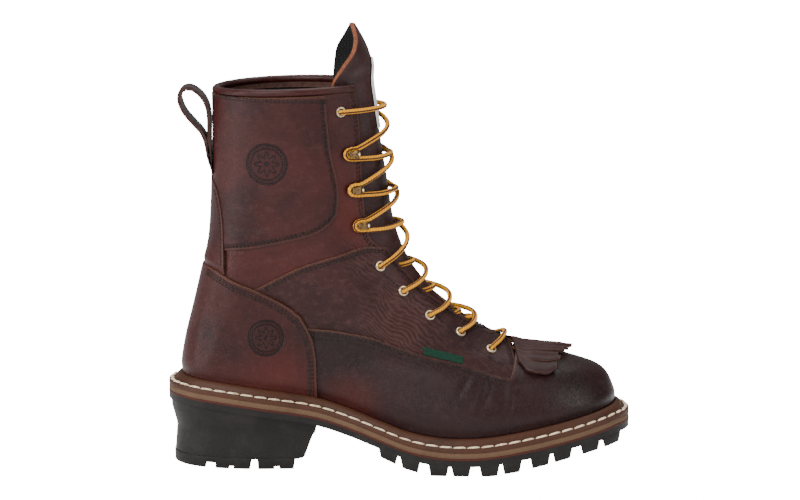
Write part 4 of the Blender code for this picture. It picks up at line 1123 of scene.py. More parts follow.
def throat_angle(level):
    """Angle at which a level's ring passes the edge of the throat."""
    rows = throat_sides[np.argsort(throat_sides[:, 1])]
    knots = np.linspace(0.5, COLLAR, 60)
    found = []
    for knot in knots:
        x, z = shares(steps * math.pi, np.full(len(steps), knot))
        passed = (z > rows[0, 1]) & (x > np.interp(z, rows[:, 1], rows[:, 0]))
        found.append(steps[np.argmax(passed)] * math.pi if passed.any() else math.pi)
    return np.interp(level, knots, found)


BASE_LOW, BASE_HIGH = 5.2, 10.86
LINING_TOP = 10.78
BAND_LOW, BAND_HIGH = 10.72, 10.92


def base_place(u, v, out):
    level = BASE_LOW + (BASE_HIGH - BASE_LOW) * v
    edge = throat_angle(level) - np.clip((7.4 - level) * 0.10, 0.0, 0.08)
    return dressed((2 * u - 1) * edge, level, out + BASE)


made = grid_piece("throat_leather", (220, 110), base_place, 1.3 * MM, [base_leather, dark_edge])
mount(wear_edges(made), ["upper"])


def lining_place(low, high, rows_out):
    def place(u, v, out):
        level = low + (high - low) * v
        return dressed((2 * u - 1) * throat_angle(level), level, rows_out - out)

    return place


made = grid_piece("mesh_lining", (150, 110), lining_place(WELT_LEVEL, LINING_TOP, -4.1 * MM), 0.5 * MM,
                  [lining_mesh] * 3, back=True)
mount(made, [])
made = grid_piece("lining_band", (150, 8), lining_place(BAND_LOW, BAND_HIGH, -4.5 * MM), 0.5 * MM,
                  [inner_leather] * 3, back=True)
mount(made, [])
print("throat, lining and band laid")

# %% [markdown]
# ## Tongue
# The tongue lies under the throat and rises over the collar as a folded leaf with a raw
# suede rim. Inside the boot its rows follow the last, pressed in where the facings
# cover it. Above the collar each row is a shallow arch, and a curve joins them all.


# %% Tongue
# height, front, half width and depth of the arch as shares, then the fold's share
# of that depth at the near edge and at the far edge
TIP_ROWS = (
    (1.048, 0.442, 0.230, 0.075, 0.78, 1.0),
    (1.085, 0.434, 0.190, 0.056, 0.52, 1.1),
    (1.118, 0.422, 0.125, 0.032, 0.36, 1.1),
    (1.143, 0.410, 0.065, 0.012, 0.40, 1.0),
    (1.155, 0.404, 0.022, 0.003, 1.00, 1.0),
)
TONGUE_REACH = 5 / 16


def tongue_place(u, v, out):
    """Points of the tongue: u from the near edge to the far one, v up to its tip."""
    across = 2 * u - 1
    rows = []
    for level in np.linspace(4.6, COLLAR, 17):
        angle = math.pi + across * TONGUE_REACH * math.pi
        share = 1 - np.abs(across) * TONGUE_REACH
        edge = throat_angle(np.array([level]))[0] / math.pi
        room = np.clip((share - edge - 0.02) / 0.12, 0, 1)
        swell = room * room * (3 - 2 * room)
        low_part, high_part = np.clip(((level - 6.5) / 1.5, level - 9.25), 0, 1)
        depth = (6.6 - 1.7 * low_part + 1.8 * high_part) * MM
        rows.append(form(angle, level, -depth + swell * (depth - 2.6 * MM) + out))
    for z, front, width, back, near_fold, far_fold in TIP_ROWS:
        fold = np.where(across < 0, near_fold, far_fold)
        x = (front - back * across ** 2 * fold) * SOLE_LENGTH - HEEL_CENTRE + out
        rows.append(np.column_stack((x, across * width * BALL_WIDTH, np.full(len(u), z * BOOT_HEIGHT))))
    rows = np.array(rows)
    at = v * (len(rows) - 1)
    i = np.minimum(at.astype(int), len(rows) - 2)
    pick = np.arange(len(u))
    a, b = rows[np.maximum(i - 1, 0), pick], rows[i, pick]
    c, d = rows[i + 1, pick], rows[np.minimum(i + 2, len(rows) - 1), pick]
    return cubic(b, c, (c - a) / 2, (d - b) / 2, (at - i)[:, None])


made = grid_piece("tongue_leather", (48, 150), tongue_place, 2.6 * MM,
                  [tongue_leather, suede_edge, lining_mesh], back=True, bevel=0.4)
mount(wear_edges(made), ["tongue"])
print(made.name, len(made.data.polygons), "faces")

# %% [markdown]
# ## Rolled collar
# The top edge is a strip of leather rolled over a cord. A round tube along the collar
# line gives it the true fat edge, and it stops where the throat opens.

# %% Rolled collar
turn = np.linspace(-0.775, 0.775, 160) * math.pi
centre = form(turn, COLLAR, -3.0 * MM) - (0, 0, 2.85 * MM)
made = tube("rolled_collar", centre, 2.7 * MM, 14, base_leather)
mount(wear_edges(made), ["collar_binding"])
print(made.name, len(made.data.polygons), "faces")

# %% [markdown]
# ## Fringed flap
# A flap of leather hangs over the lowest lacing and is cut into strips whose free ends
# lift. Every strip is its own small sheet between two lines that fan out, so the gaps
# between strips are real. They are joined as one mesh at the end.


# %% Fringed flap
def level_at(angle, x):
    """Level at which the last reaches x on a given angle."""
    low, high = np.full(angle.shape, 1.2), np.full(angle.shape, 7.5)
    for _ in range(24):
        level = (low + high) / 2
        past = skin(angle, level)[:, 0] + HEEL_CENTRE > x * SOLE_LENGTH
        low, high = np.where(past, level, low), np.where(past, high, level)
    return level


STRIPS = 13
FLAP_START = 0.705
CUT_START = 0.778
FLAP_X = np.array((0.700, 0.742, 0.752, 0.770, 0.790, 0.815, 0.868))
FLAP_Z = np.array((0.352, 0.330, 0.280, 0.255, 0.246, 0.240, 0.252))
FLAP_HALF = math.pi - locate(FLAP_X, FLAP_Z)[0]
FLAP_ENDS = (0.834, 0.842, 0.838, 0.852, 0.850, 0.862, 0.868, 0.866, 0.858, 0.850, 0.853, 0.840, 0.834)


def strip_place(k):
    def place(u, v, out):
        x = FLAP_START + (FLAP_ENDS[k] - FLAP_START) * v
        half = np.interp(x, FLAP_X, FLAP_HALF)
        width = 2 * half / STRIPS
        gap = np.clip((x - CUT_START) / 0.02, 0, 1) * 0.09
        taper = np.clip((v - 0.88) / 0.12, 0, 1) ** 2 * 0.20
        across = (u - 0.5) * (1 - gap - taper)
        angle = math.pi - half + (k + 0.5 + across) * width
        free = np.clip((x - 0.74) / 0.12, 0, 1.1)
        swell = (1 - (2 * u - 1) ** 4) * np.clip((x - 0.765) / 0.02, 0, 1) * 0.7 * MM
        lift = (3.0 + 0.7 * math.sin(2.3 * k)) * free ** 2 * MM
        rest = np.clip((x - 0.70) / 0.05, 0.1, 1) * 2.3 * MM
        return form(angle, level_at(angle, x), rest + lift + swell + np.where(out < 0, out, 0))

    return place


flap_finishes = [flap_leather, dark_edge, dark_edge]
flap_bm = bmesh.new()
for k in range(STRIPS):
    strip = grid_piece("strip", (8, 26), strip_place(k), 1.9 * MM, flap_finishes, back=True, bevel=0.3)
    flap_bm.from_mesh(strip.data)
    bpy.data.objects.remove(strip)
made = finish_piece("fringed_flap", flap_bm, flap_finishes)
mount(wear_edges(made, 2.0), ["kiltie"])
print(made.name, STRIPS, "strips")

# %% [markdown]
# ## Pull loop
# A strap sewn at both ends to the back of the shaft, standing off it as a long loop. It
# is a sheet bent along a path drawn as seen from the side, thinner at its sewn ends.

# %% Pull loop
STRAP_WIDTH = 19.6 * MM
STRAP_HALF = 1.2 * MM
LOOP_PATH = smooth((
    (0.0990, 0.765), (0.0945, 0.800), (0.0918, 0.850), (0.0915, 0.915), (0.0845, 0.950),
    (0.0700, 0.974), (0.0500, 0.9875), (0.0330, 0.9800), (0.0290, 0.9550), (0.0400, 0.9230),
    (0.0600, 0.8940), (0.0770, 0.8700), (0.0860, 0.8400), (0.0915, 0.800), (0.0985, 0.765),
), 160)


def loop_place(u, v, out):
    scale = (SOLE_LENGTH, BOOT_HEIGHT)
    path = on_line(LOOP_PATH, v) * scale
    ahead, behind = np.clip(v + 0.01, 0, 1), np.clip(v - 0.01, 0, 1)
    step = (on_line(LOOP_PATH, ahead) - on_line(LOOP_PATH, behind)) * scale
    step /= np.linalg.norm(step, axis=1)[:, None]
    thin = np.clip(np.minimum(v, 1 - v) / 0.10, 0.3, 1)
    side = np.column_stack((-step[:, 1], step[:, 0])) * ((STRAP_HALF + out) * thin)[:, None]
    across = (u - 0.5) * STRAP_WIDTH
    return np.column_stack((path[:, 0] - HEEL_CENTRE + side[:, 0], across, path[:, 1] + side[:, 1]))


made = grid_piece("pull_strap", (14, 120), loop_place, 2 * STRAP_HALF,
                  [counter_leather, dark_edge, tongue_leather], back=True, bevel=0.4)
mount(wear_edges(made), ["pull_loop"])
print(made.name, len(made.data.polygons), "faces")

# %% [markdown]
# ## Welt and boards
# The storm welt is swept round the feather line, with its lip against the upper. Below
# it come the sanded board and the thin red-brown mid line. Each is a short profile in
# millimetres carried round the sole by a grid, as a bar is run through a moulding die.

# %% Round the feather line
WELT_OUT = 9.5 * MM


def outline(angle, out):
    """Plan points beside the feather line."""
    here = skin(angle, 1.0)
    run = skin(angle + 0.001, 1.0) - skin(angle - 0.001, 1.0)
    side = np.column_stack((run[:, 1], -run[:, 0]))
    side /= np.linalg.norm(side, axis=1)[:, None]
    return here[:, :2] + side * np.asarray(out)[:, None], here[:, 0] + HEEL_CENTRE


def ring_strip(name, profile, material, count=260):
    """A profile of (out, rise) in millimetres swept round the sole."""
    line = np.asarray(profile, float) * MM
    bm = bmesh.new()
    bmesh.ops.create_grid(bm, x_segments=count, y_segments=len(line) - 1, size=0.5)
    rows = list(bm.verts)
    u = np.array([vertex.co.x + 0.5 for vertex in rows])
    k = np.array([round((vertex.co.y + 0.5) * (len(line) - 1)) for vertex in rows])
    out, rise = line[k].T
    plan, base_x = outline(u * 2 * math.pi, out)
    height = seat(np.where(out > 3.6 * MM, plan[:, 0] + HEEL_CENTRE, base_x)) + rise
    for vertex, spot in zip(rows, np.column_stack((plan, height))):
        vertex.co = spot
    bmesh.ops.remove_doubles(bm, verts=list(bm.verts), dist=1e-6)
    for face in bm.faces:
        face.smooth = True
    return finish_piece(name, bm, [material], 60)


welt_profile = ((0.5, -0.2), (1.2, 0.0), (2.0, -0.2), (2.9, -0.8), (3.7, -1.9), (4.4, -3.4), (5.0, -4.6),
                (5.5, -5.0), (6.6, -5.0), (8.7, -4.8), (9.2, -4.95), (9.5, -5.4), (9.5, -8.1), (0.5, -8.1))
mount(ring_strip("storm_welt", welt_profile, welt_leather), ["welt"])
board_profile = ((2.0, -8.1), (9.1, -8.1), (9.45, -8.4), (9.45, -11.5), (9.2, -11.8), (2.0, -11.8))
mount(ring_strip("board_edge", board_profile, board_edge), ["midsole"])
line_profile = ((2.0, -11.8), (9.5, -11.8), (9.62, -12.2), (9.62, -12.9), (9.5, -13.1), (2.0, -13.1))
mount(ring_strip("mid_line", line_profile, red_line), [])
print("welt, board and mid line swept round the sole")

# %% [markdown]
# ## Rubber sheet and lugs
# The forefoot's tread is a row of blocks along each edge and one down the middle, cut
# by narrow notches and wider channels that take turns. A sheet closes them above. Each
# block is a grid extruded upwards, so its sides can follow the sole's curved edge.

# %% Rubber sheet
SHEET_DROP = 17.2 * MM
TREAD = np.array(((0.455, 0.046), (0.511, 0.016), (0.560, 0.000), (0.697, 0.000), (0.756, 0.010),
                  (0.814, 0.025), (0.873, 0.041), (0.945, 0.057), (1.010, 0.069)))


def sheet_place(u, v, out):
    turn = math.pi * (0.5 - 0.5 * np.cos(math.pi * u))
    outer, _ = outline(turn, np.full(len(u), WELT_OUT))
    inner, _ = outline(2 * math.pi - turn, np.full(len(u), WELT_OUT))
    plan = outer * (1 - v)[:, None] + inner * v[:, None]
    return np.column_stack((plan, seat(plan[:, 0] + HEEL_CENTRE) - SHEET_DROP - out))


made = grid_piece("rubber_sheet", (150, 12), sheet_place, 4.1 * MM, [rubber, rubber, rubber],
                  back=True, bevel=0.5)
mount(made, ["outsole"])
print(made.name, len(made.data.polygons), "faces")

# %% One block of tread
BLOCK_ROUND = 0.45 * MM
turns = np.linspace(0, math.pi, 400)
outer_edge, _ = outline(turns, np.full(400, WELT_OUT))
inner_edge, _ = outline(2 * math.pi - turns, np.full(400, WELT_OUT))


def edge_y(x, sign):
    line = outer_edge if sign < 0 else inner_edge
    return float(np.interp(x - HEEL_CENTRE, line[:, 0], line[:, 1]))


def block(bm, ends, sides, under, over, lean, count=5):
    """A lug between two x, with sides that follow x, narrower at the floor."""
    one = bmesh.new()
    bmesh.ops.create_grid(one, x_segments=count, y_segments=1, size=0.5)
    made = bmesh.ops.extrude_face_region(one, geom=list(one.faces))["geom"]
    top = {item for item in made if isinstance(item, bmesh.types.BMVert)}
    middle = sum(ends) / 2
    for vertex in one.verts:
        half = (ends[1] - ends[0]) / 2 - (0 if vertex in top else lean)
        x = middle + 2 * half * vertex.co.x
        low, high = sides(x)
        y = low + (high - low) * (vertex.co.y + 0.5)
        vertex.co = (x - HEEL_CENTRE, y, over(x) if vertex in top else under(x))
    bmesh.ops.recalc_face_normals(one, faces=list(one.faces))
    sharp = [edge for edge in one.edges if len(edge.link_faces) == 2 and edge.calc_face_angle() > 0.7]
    bmesh.ops.bevel(one, geom=sharp, offset=BLOCK_ROUND, segments=2, profile=0.5, affect="EDGES",
                    clamp_overlap=True, material=-1)
    mesh = bpy.data.meshes.new("lug")
    one.to_mesh(mesh)
    one.free()
    bm.from_mesh(mesh)
    bpy.data.meshes.remove(mesh)


def tread(x):
    return float(np.interp(x / SOLE_LENGTH, TREAD[:, 0], TREAD[:, 1])) * BOOT_HEIGHT


def sheet_low(x):
    return float(seat(x)[0]) - 16.8 * MM


print("tread at the ball:", round(tread(0.6 * SOLE_LENGTH), 4), "m over the floor")

# %% Lugs of the forefoot
PITCH, NOTCH, CHANNEL = 33.3 * MM, 153.0 * MM, 169.5 * MM
NOTCH_HALF, CHANNEL_HALF = 2.3 * MM, 4.25 * MM
LEAN = 1.5 * MM
TREAD_START, TREAD_END = 0.455 * SOLE_LENGTH, 0.9985 * SOLE_LENGTH
SMALLEST_LUG = 3 * MM


def middle_y(x):
    return float(along(CENTRE_LINE, x / SOLE_LENGTH)[0]) * BALL_WIDTH


def edge_sides(sign):
    def sides(x):
        inner = middle_y(x) + sign * 21 * MM
        outer = edge_y(x, sign)
        return sorted((inner if abs(outer) > abs(inner) + 2 * MM else outer - sign * 3 * MM, outer))

    return sides


def middle_sides(x):
    return middle_y(x) - 17 * MM, middle_y(x) + 17 * MM


lugs = bmesh.new()
cuts = sorted([(NOTCH + PITCH * i, NOTCH_HALF) for i in range(5)]
              + [(CHANNEL + PITCH * i, CHANNEL_HALF) for i in range(5)])
starts = [TREAD_START] + [x + half - LEAN for x, half in cuts]
ends = [x - half + LEAN for x, half in cuts] + [TREAD_END]
for start, end in zip(starts, ends):
    if end - start < SMALLEST_LUG:
        continue
    for sign in (-1, 1):
        block(lugs, (start, end), edge_sides(sign), tread, sheet_low, LEAN)
for i in range(-1, 4):
    first = CHANNEL + PITCH * i + CHANNEL_HALF if i >= 0 else TREAD_START
    last = CHANNEL + PITCH * (i + 1) - CHANNEL_HALF
    block(lugs, (first - LEAN, last + LEAN), middle_sides, tread, sheet_low, LEAN)
for face in lugs.faces:
    face.smooth = True
mount(finish_piece("lugs", lugs, [rubber], 35), [])
print("lugs:", len(cuts), "cuts")

# %% [markdown]
# ## Heel
# A tall block, waisted below the sole and flared at its foot, with a leaning breast. It
# is swept round the back as rings and closed flat across the breast. The tread is the
# same block of the forefoot, set side by side, with shallow fillers in the grooves.

# %% Heel block
# height, inset from the welt and front edge of each ring, as shares
HEEL_RINGS = (
    (0.026, 0.034, 0.279), (0.030, 0.034, 0.295), (0.090, 0.044, 0.313),
    (0.100, 0.042, 0.319), (0.150, 0.012, 0.321),
)
HEEL_DROP = 17.4 * MM
BREAST_SHARE = 0.2


def heel_body():
    """The block above its tread, swept round its back and closed across the breast."""
    rounds, rows = 150, 26
    bm = bmesh.new()
    bmesh.ops.create_grid(bm, x_segments=rounds, y_segments=rows, size=0.5)
    table = np.array(HEEL_RINGS)
    verts = list(bm.verts)
    u = np.array([vertex.co.x + 0.5 for vertex in verts])
    v = np.array([vertex.co.y + 0.5 for vertex in verts])
    knots = np.array((0.0, 0.05, 0.55, 0.68, 1.0))
    z_share, inset, front = (np.interp(v, knots, table[:, i]) for i in range(3))
    reach = front * SOLE_LENGTH - HEEL_CENTRE
    side_u = np.clip(u / (1 - BREAST_SHARE), 0, 1)
    fine = np.linspace(0, 1.6, 300)
    plan0, _ = outline(fine, np.full(300, WELT_OUT))
    limit = np.interp(reach, plan0[:, 0], fine)
    angle = (2 * side_u - 1) * limit
    plan, _ = outline(angle, WELT_OUT - inset * BALL_WIDTH)
    corner_a, _ = outline(limit, WELT_OUT - inset * BALL_WIDTH)
    corner_b, _ = outline(-limit, WELT_OUT - inset * BALL_WIDTH)
    cross = np.clip((u - (1 - BREAST_SHARE)) / BREAST_SHARE, 0, 1)[:, None]
    plan = np.where(u[:, None] <= 1 - BREAST_SHARE, plan, corner_a * (1 - cross) + corner_b * cross)
    top = seat(plan[:, 0] + HEEL_CENTRE) - HEEL_DROP
    height = np.where(v >= 1, top, np.minimum(z_share * BOOT_HEIGHT, top))
    for vertex, spot in zip(verts, np.column_stack((plan, height))):
        vertex.co = spot
    bmesh.ops.remove_doubles(bm, verts=list(bm.verts), dist=1e-6)
    bmesh.ops.holes_fill(bm, edges=[edge for edge in bm.edges if edge.is_boundary], sides=rounds + 2)
    bmesh.ops.recalc_face_normals(bm, faces=list(bm.faces))
    return bm


heel_bm = heel_body()
print("heel block:", len(heel_bm.faces), "faces")

# %% Heel tread
TREAD_INSET = 3.3 * MM
TREAD_TOP = 7.4 * MM
GROOVE_OVERLAP = 0.8 * MM
heel_outer, _ = outline(turns, np.full(400, WELT_OUT - TREAD_INSET))
heel_inner, _ = outline(2 * math.pi - turns, np.full(400, WELT_OUT - TREAD_INSET))


def heel_sides(sign):
    line = heel_outer if sign < 0 else heel_inner

    def sides(x):
        return sorted((-0.5 * sign * MM, float(np.interp(x - HEEL_CENTRE, line[:, 0], line[:, 1]))))

    return sides


# start, end and depth of each groove, as shares
GROOVES = ((0.084, 0.103, 0.014), (0.135, 0.142, 0.007), (0.180, 0.195, 0.026), (0.232, 0.241, 0.007))
HEEL_END = 0.274
starts = [TREAD_INSET] + [end * SOLE_LENGTH for _, end, _ in GROOVES]
ends = [start * SOLE_LENGTH for start, _, _ in GROOVES] + [HEEL_END * SOLE_LENGTH]
for sign in (-1, 1):
    for start, end in zip(starts, ends):
        columns = 16 if start == TREAD_INSET else 5
        block(heel_bm, (start, end), heel_sides(sign), lambda x: 0.0, lambda x: TREAD_TOP, 0.4 * MM, columns)
    for start, end, depth in GROOVES:
        spread = (start * SOLE_LENGTH - GROOVE_OVERLAP, end * SOLE_LENGTH + GROOVE_OVERLAP)
        floor_of_groove = depth * BOOT_HEIGHT
        block(heel_bm, spread, heel_sides(sign), lambda x: floor_of_groove, lambda x: TREAD_TOP, 0.0)
for face in heel_bm.faces:
    face.smooth = True
mount(finish_piece("heel_block", heel_bm, [rubber], 35), ["heel"])
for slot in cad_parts["insole"].material_slots:
    slot.material = inner_leather
print("heel:", len(GROOVES), "grooves; the insole takes its leather")

# %% [markdown]
# ## Eyelets
# An eyelet is a thin brass tube rolled over at its rim. Its profile is turned once, then
# copied to every hole and stood on the leather's own normal there. A dark disc closes
# the hole, because the boot's inside is in deep shade.

# %% Where the hardware sits
EYELETS = ((0.697, 0.309), (0.631, 0.353), (0.565, 0.399), (0.508, 0.464), (0.459, 0.531), (0.379, 0.937))
HOOKS = ((0.416, 0.639), (0.404, 0.733), (0.396, 0.827))


def seated(x, z, inner, out):
    """Place and normal at shares of the side view."""
    angle, level = locate(x, z, inner)
    return dressed(angle, level, out)[0], outward(angle, level)[0]


def standing(x, z, inner, out):
    spot, normal = seated(x, z, inner, out)
    return standing_on(spot, (1, 0, 0.0001), normal)


def lathe(profile, steps=28):
    """A turned ring from (radius, height) in millimetres."""
    bm = bmesh.new()
    bmesh.ops.create_grid(bm, x_segments=steps, y_segments=len(profile) - 1, size=0.5)
    for vertex in bm.verts:
        turn = 2 * math.pi * (vertex.co.x + 0.5)
        radius, height = profile[round((vertex.co.y + 0.5) * (len(profile) - 1))]
        vertex.co = (radius * MM * math.cos(turn), radius * MM * math.sin(turn), height * MM)
    bmesh.ops.remove_doubles(bm, verts=list(bm.verts), dist=1e-7)
    bmesh.ops.recalc_face_normals(bm, faces=list(bm.faces))
    return bm


ring = lathe(((2.15, -1.4), (2.15, 0.1), (2.2, 0.45), (2.4, 0.75), (2.75, 0.85), (3.1, 0.7),
              (3.4, 0.35), (3.5, -0.1), (3.45, -0.6)))
well = lathe(((0.01, 0.1), (1.1, 0.1), (2.2, 0.1)), 20)
seats = [(x, z, inner, BASE if z > 0.9 else 0.0) for x, z in EYELETS for inner in (False, True)]
places = [standing(x, z, inner, out + 0.2 * MM) for x, z, inner, out in seats]
made = joined("eyelets", ring, places, pale_brass)
mount(made, [f"eyelet_{side}_{k}" for side in ("lateral", "medial") for k in range(1, 7)])
mount(joined("eyelet_wells", well, places, hole_black), [])
ring.free()
well.free()
print("eyelets:", len(places))

# %% [markdown]
# ## Speed hooks
# A hook is a flat strip bent back over itself, so the lace slips under it. The strip is
# a grid bent along a path drawn from the side, in millimetres, and its tip narrows. The
# bright ball is a rivet head on the side of the throat.

# %% Speed hooks
HOOK_PATH = np.array((
    (-4.6, 0.5), (-1.5, 0.5), (2.0, 0.5), (4.0, 0.7), (4.9, 1.8), (5.0, 3.2),
    (4.6, 4.6), (3.2, 5.5), (1.0, 5.7), (-1.9, 5.5), (-2.9, 5.1),
))
HOOK_ROWS = 40
HOOK_HALF = 3.0
STRIP_HALF = 0.45


def hook_strap():
    bm = bmesh.new()
    bmesh.ops.create_grid(bm, x_segments=6, y_segments=HOOK_ROWS, size=0.5)
    made = bmesh.ops.extrude_face_region(bm, geom=list(bm.faces))["geom"]
    top = {item for item in made if isinstance(item, bmesh.types.BMVert)}
    path = smooth(HOOK_PATH, HOOK_ROWS + 1)
    ahead = np.gradient(path, axis=0)
    ahead /= np.linalg.norm(ahead, axis=1)[:, None]
    for vertex in bm.verts:
        k = round((vertex.co.y + 0.5) * HOOK_ROWS)
        v = k / HOOK_ROWS
        narrow = 1.1 * max((v - 0.55) / 0.45, 0) + 0.8 * max((0.1 - v) / 0.1, 0)
        half = (HOOK_HALF - narrow) * 2 * vertex.co.x
        side = STRIP_HALF * (1 if vertex in top else -1) * (1 - 0.3 * (2 * vertex.co.x) ** 2)
        x = path[k][0] - ahead[k][1] * side
        z = path[k][1] + ahead[k][0] * side
        vertex.co = (x * MM, half * MM, z * MM)
    bmesh.ops.recalc_face_normals(bm, faces=list(bm.faces))
    return bm


strap = hook_strap()
ball = bmesh.new()
bmesh.ops.create_uvsphere(ball, u_segments=18, v_segments=12, radius=2.0 * MM)
bmesh.ops.translate(ball, verts=ball.verts, vec=(4.3 * MM, 0, 3.6 * MM))
places = [standing(x, z, inner, BASE) for x, z in HOOKS for inner in (False, True)]
# the hooks are painted dark as painted shade, and the balls bright as a painted highlight
made = joined("lace_hooks", strap, places, stained_and_shaded_brass)
mount(made, [f"hook_{side}_{k}" for side in ("lateral", "medial") for k in range(1, 4)])
mount(joined("hook_balls", ball, places, painted_highlight_brass), [])
strap.free()
ball.free()
print("hooks:", len(places))

# %% [markdown]
# ## Lace
# One lace runs as a bootmaker laces: a bar over each pair of hooks or holes and a
# diagonal to the next pair, through the brass and not past it. Its path is a list of
# points given in the order that a hand would thread them, joined by a smooth curve.
# A run across the throat is lifted clear of the tongue in its middle.

# %% Lace helpers
LACE = 1.65 * MM


def lace_point(x, z, inner, out, right=0.0, up=0.0):
    return seated(x + right * MM / SOLE_LENGTH, z + up * MM / BOOT_HEIGHT, inner, out * MM)[0]


def over(start, end, rise, arc, seat_out=1.8, count=5):
    """Middle points of a run across the throat, from one side to the other."""
    (x0, z0, inner0), (x1, z1, inner1) = start, end
    (a0,), (l0,) = locate(x0, z0, inner0)
    (a1,), (l1,) = locate(x1, z1, inner1)
    t = np.linspace(0, 1, count + 2)[1:-1]
    bow = np.sin(math.pi * t)
    if seat_out < 0:
        bow = np.clip((bow - 0.5) / 0.4, 0, 1)
    lift = rise * bow ** 1.2 + seat_out * (1 - bow)
    curved = form(a0 + (a1 - a0) * t, l0 + (l1 - l0) * t, lift * MM)
    ends = form(np.array([a0, a1]), np.array([l0, l1]), seat_out * MM)
    flat = ends[0] * (1 - t[:, None]) + ends[1] * t[:, None]
    return list(curved * arc + flat * (1 - arc))


def through_hole(x, z, inner, base, inward):
    outs = (2.2, 0.6, -2.2, -4.8) if inward else (-4.8, -2.2, 0.6, 2.2)
    return [lace_point(x, z, inner, base + out) for out in outs]


# right, up and out from a hook's middle, in millimetres
HOOK_TURN = (
    (4.2, 3.6, 1.2), (0.5, 3.1, 0.6), (-2.3, 2.1, 0.4), (-3.3, 0.0, 0.4),
    (-2.1, -2.3, 0.4), (0.8, -3.1, 0.6), (4.6, -3.2, 1.4),
)


def round_hook(x, z, inner):
    """Under a hook: in from the throat, round its stem at the heel side, and out again."""
    return [lace_point(x, z, inner, out, right, up) for right, up, out in HOOK_TURN]


print("lace: radius", LACE, "m")

# %% Path of the lace
HIGH_ARC, LOW_ARC = 0.86, 0.42
E, H = EYELETS, HOOKS


def near_hook(k, right, up, inner=False):
    """A spot beside a hook, in shares of the side view."""
    return H[k][0] + right, H[k][1] + up, inner


top = BASE / MM
far = (E[5][0] + 0.030, E[5][1] - 0.010, True)
emerging = (far[0] + 0.012, far[1] - 0.002, True)
path = [lace_point(*E[5], False, top - 7.0, 0, -6.0)]
path += through_hole(*E[5], False, top, False)
path += over((*E[5], False), (*E[5], True), 4.4, 0.96)
path += through_hole(*E[5], True, top, True)
path += [lace_point(*far, -5.0), lace_point(*emerging, -1.6)]
start = emerging
for k in (2, 1, 0):
    path += over(start, near_hook(k, 0.018, 0.020), 6.0, HIGH_ARC)
    path += round_hook(*H[k], False)
    path += over(near_hook(k, 0.016, -0.016), near_hook(k, 0.016, -0.014, True), 6.0, HIGH_ARC)
    path += round_hook(*H[k], True)[::-1]
    start = near_hook(k, 0.014, 0.016, True)
start = near_hook(0, 0.016, 0.016, True)
for k in (4, 3, 2, 1):
    path += over(start, (*E[k], False), 6.2, HIGH_ARC)
    path += through_hole(*E[k], False, 0.0, True)
    if k > 1:
        path += over((*E[k], False), (*E[k], True), -0.9, 1.0, -5.0, 7)
        path += through_hole(*E[k], True, 0.0, False)
        start = (*E[k], True)
path += [lace_point(*E[1], False, -5.5, 6, -3), lace_point(*E[0], False, -6.0, 0, 9)]
path += over((*E[1], False), (*E[0], True), -3.2, 1.0, -5.2)
path += through_hole(*E[0], True, 0.0, False)
lowest = np.array(over((*E[0], True), (*E[0], False), 3.6, LOW_ARC))
lowest[:, 2] += 5.5 * MM * np.sin(math.pi * np.linspace(0, 1, 7)[1:-1])
path += list(lowest)
path += through_hole(*E[0], False, 0.0, True)
path += over((*E[0], False), (*E[1], True), -4.4, 1.0, -5.4)
path += through_hole(*E[1], True, 0.0, False)
END_TURNS = ((2.0, 4.5, 2.5), (1.4, 8.5, 5.0), (-2.6, 12.0, 7.0), (-5.2, 9.0, 6.5))
path += [lace_point(*E[1], True, out, right, up) for out, right, up in END_TURNS]
print("lace path:", len(path), "points")

# %% The lace itself
path = np.array([tuple(point) for point in path])
keep = [0] + [i for i in range(1, len(path)) if np.linalg.norm(path[i] - path[i - 1]) > 0.4 * MM]
lace_line = smooth(path[keep], 24 * len(keep))
lace_length = float(np.sum(np.linalg.norm(np.diff(lace_line, axis=0), axis=1)))
made = tube("boot_lace", lace_line, LACE, 10, lace_cord)
mount(made, ["lace"])
print("lace length:", round(lace_length, 3), "m")

# %% [markdown]
# ## Stitches
# Each stitch is a short bead of waxed thread. One bead is made, then set again and
# again along a line drawn beside the seam at the awl's pitch. Real beads catch the
# light from every side, where a painted row would look flat.


# %% Stitch helpers
PITCH_FINE = 2.7


def beside(line, amount):
    """A side-view line moved sideways by millimetres, to its left when positive."""
    metric = line * (SOLE_LENGTH, BOOT_HEIGHT)
    ahead = np.gradient(metric, axis=0)
    ahead /= np.linalg.norm(ahead, axis=1)[:, None] + 1e-12
    moved = metric + np.column_stack((-ahead[:, 1], ahead[:, 0])) * amount * MM
    return moved / (SOLE_LENGTH, BOOT_HEIGHT)


def bead(length, width, height):
    bm = bmesh.new()
    bmesh.ops.create_uvsphere(bm, u_segments=8, v_segments=6, radius=0.5)
    for vertex in bm.verts:
        x, y, z = vertex.co
        vertex.co = (math.copysign(abs(2 * x) ** 0.6, x) / 2 * length * MM, y * width * MM, z * height * MM)
    return bm


def sewn(points, normals, pitch):
    """Places of stitches along points on the leather."""
    runs = np.r_[0, np.cumsum(np.linalg.norm(np.diff(points, axis=0), axis=1))]
    count = max(int(runs[-1] / (pitch * MM)), 1)
    spots = np.linspace(0, runs[-1], count + 1)
    at = np.column_stack([np.interp(spots, runs, column) for column in points.T])
    up = np.column_stack([np.interp(spots, runs, column) for column in normals.T])
    ahead = np.gradient(at, axis=0)
    return [standing_on(a, d, n) for a, d, n in zip(at, ahead, up)]


def seam_places(line, amount, out):
    """Stitches of both sides of the boot along a side-view line moved by an amount."""
    made = []
    for inner in (False, True):
        moved = resample(beside(line, amount), 220)
        angle, level = traced(moved, inner).T
        made += sewn(dressed(angle, level, out * MM), outward(angle, level), PITCH_FINE)
    return made


def trimmed(line, low, high):
    return line[int(len(line) * low):int(len(line) * high)]


print("stitch pitch:", PITCH_FINE, "mm")

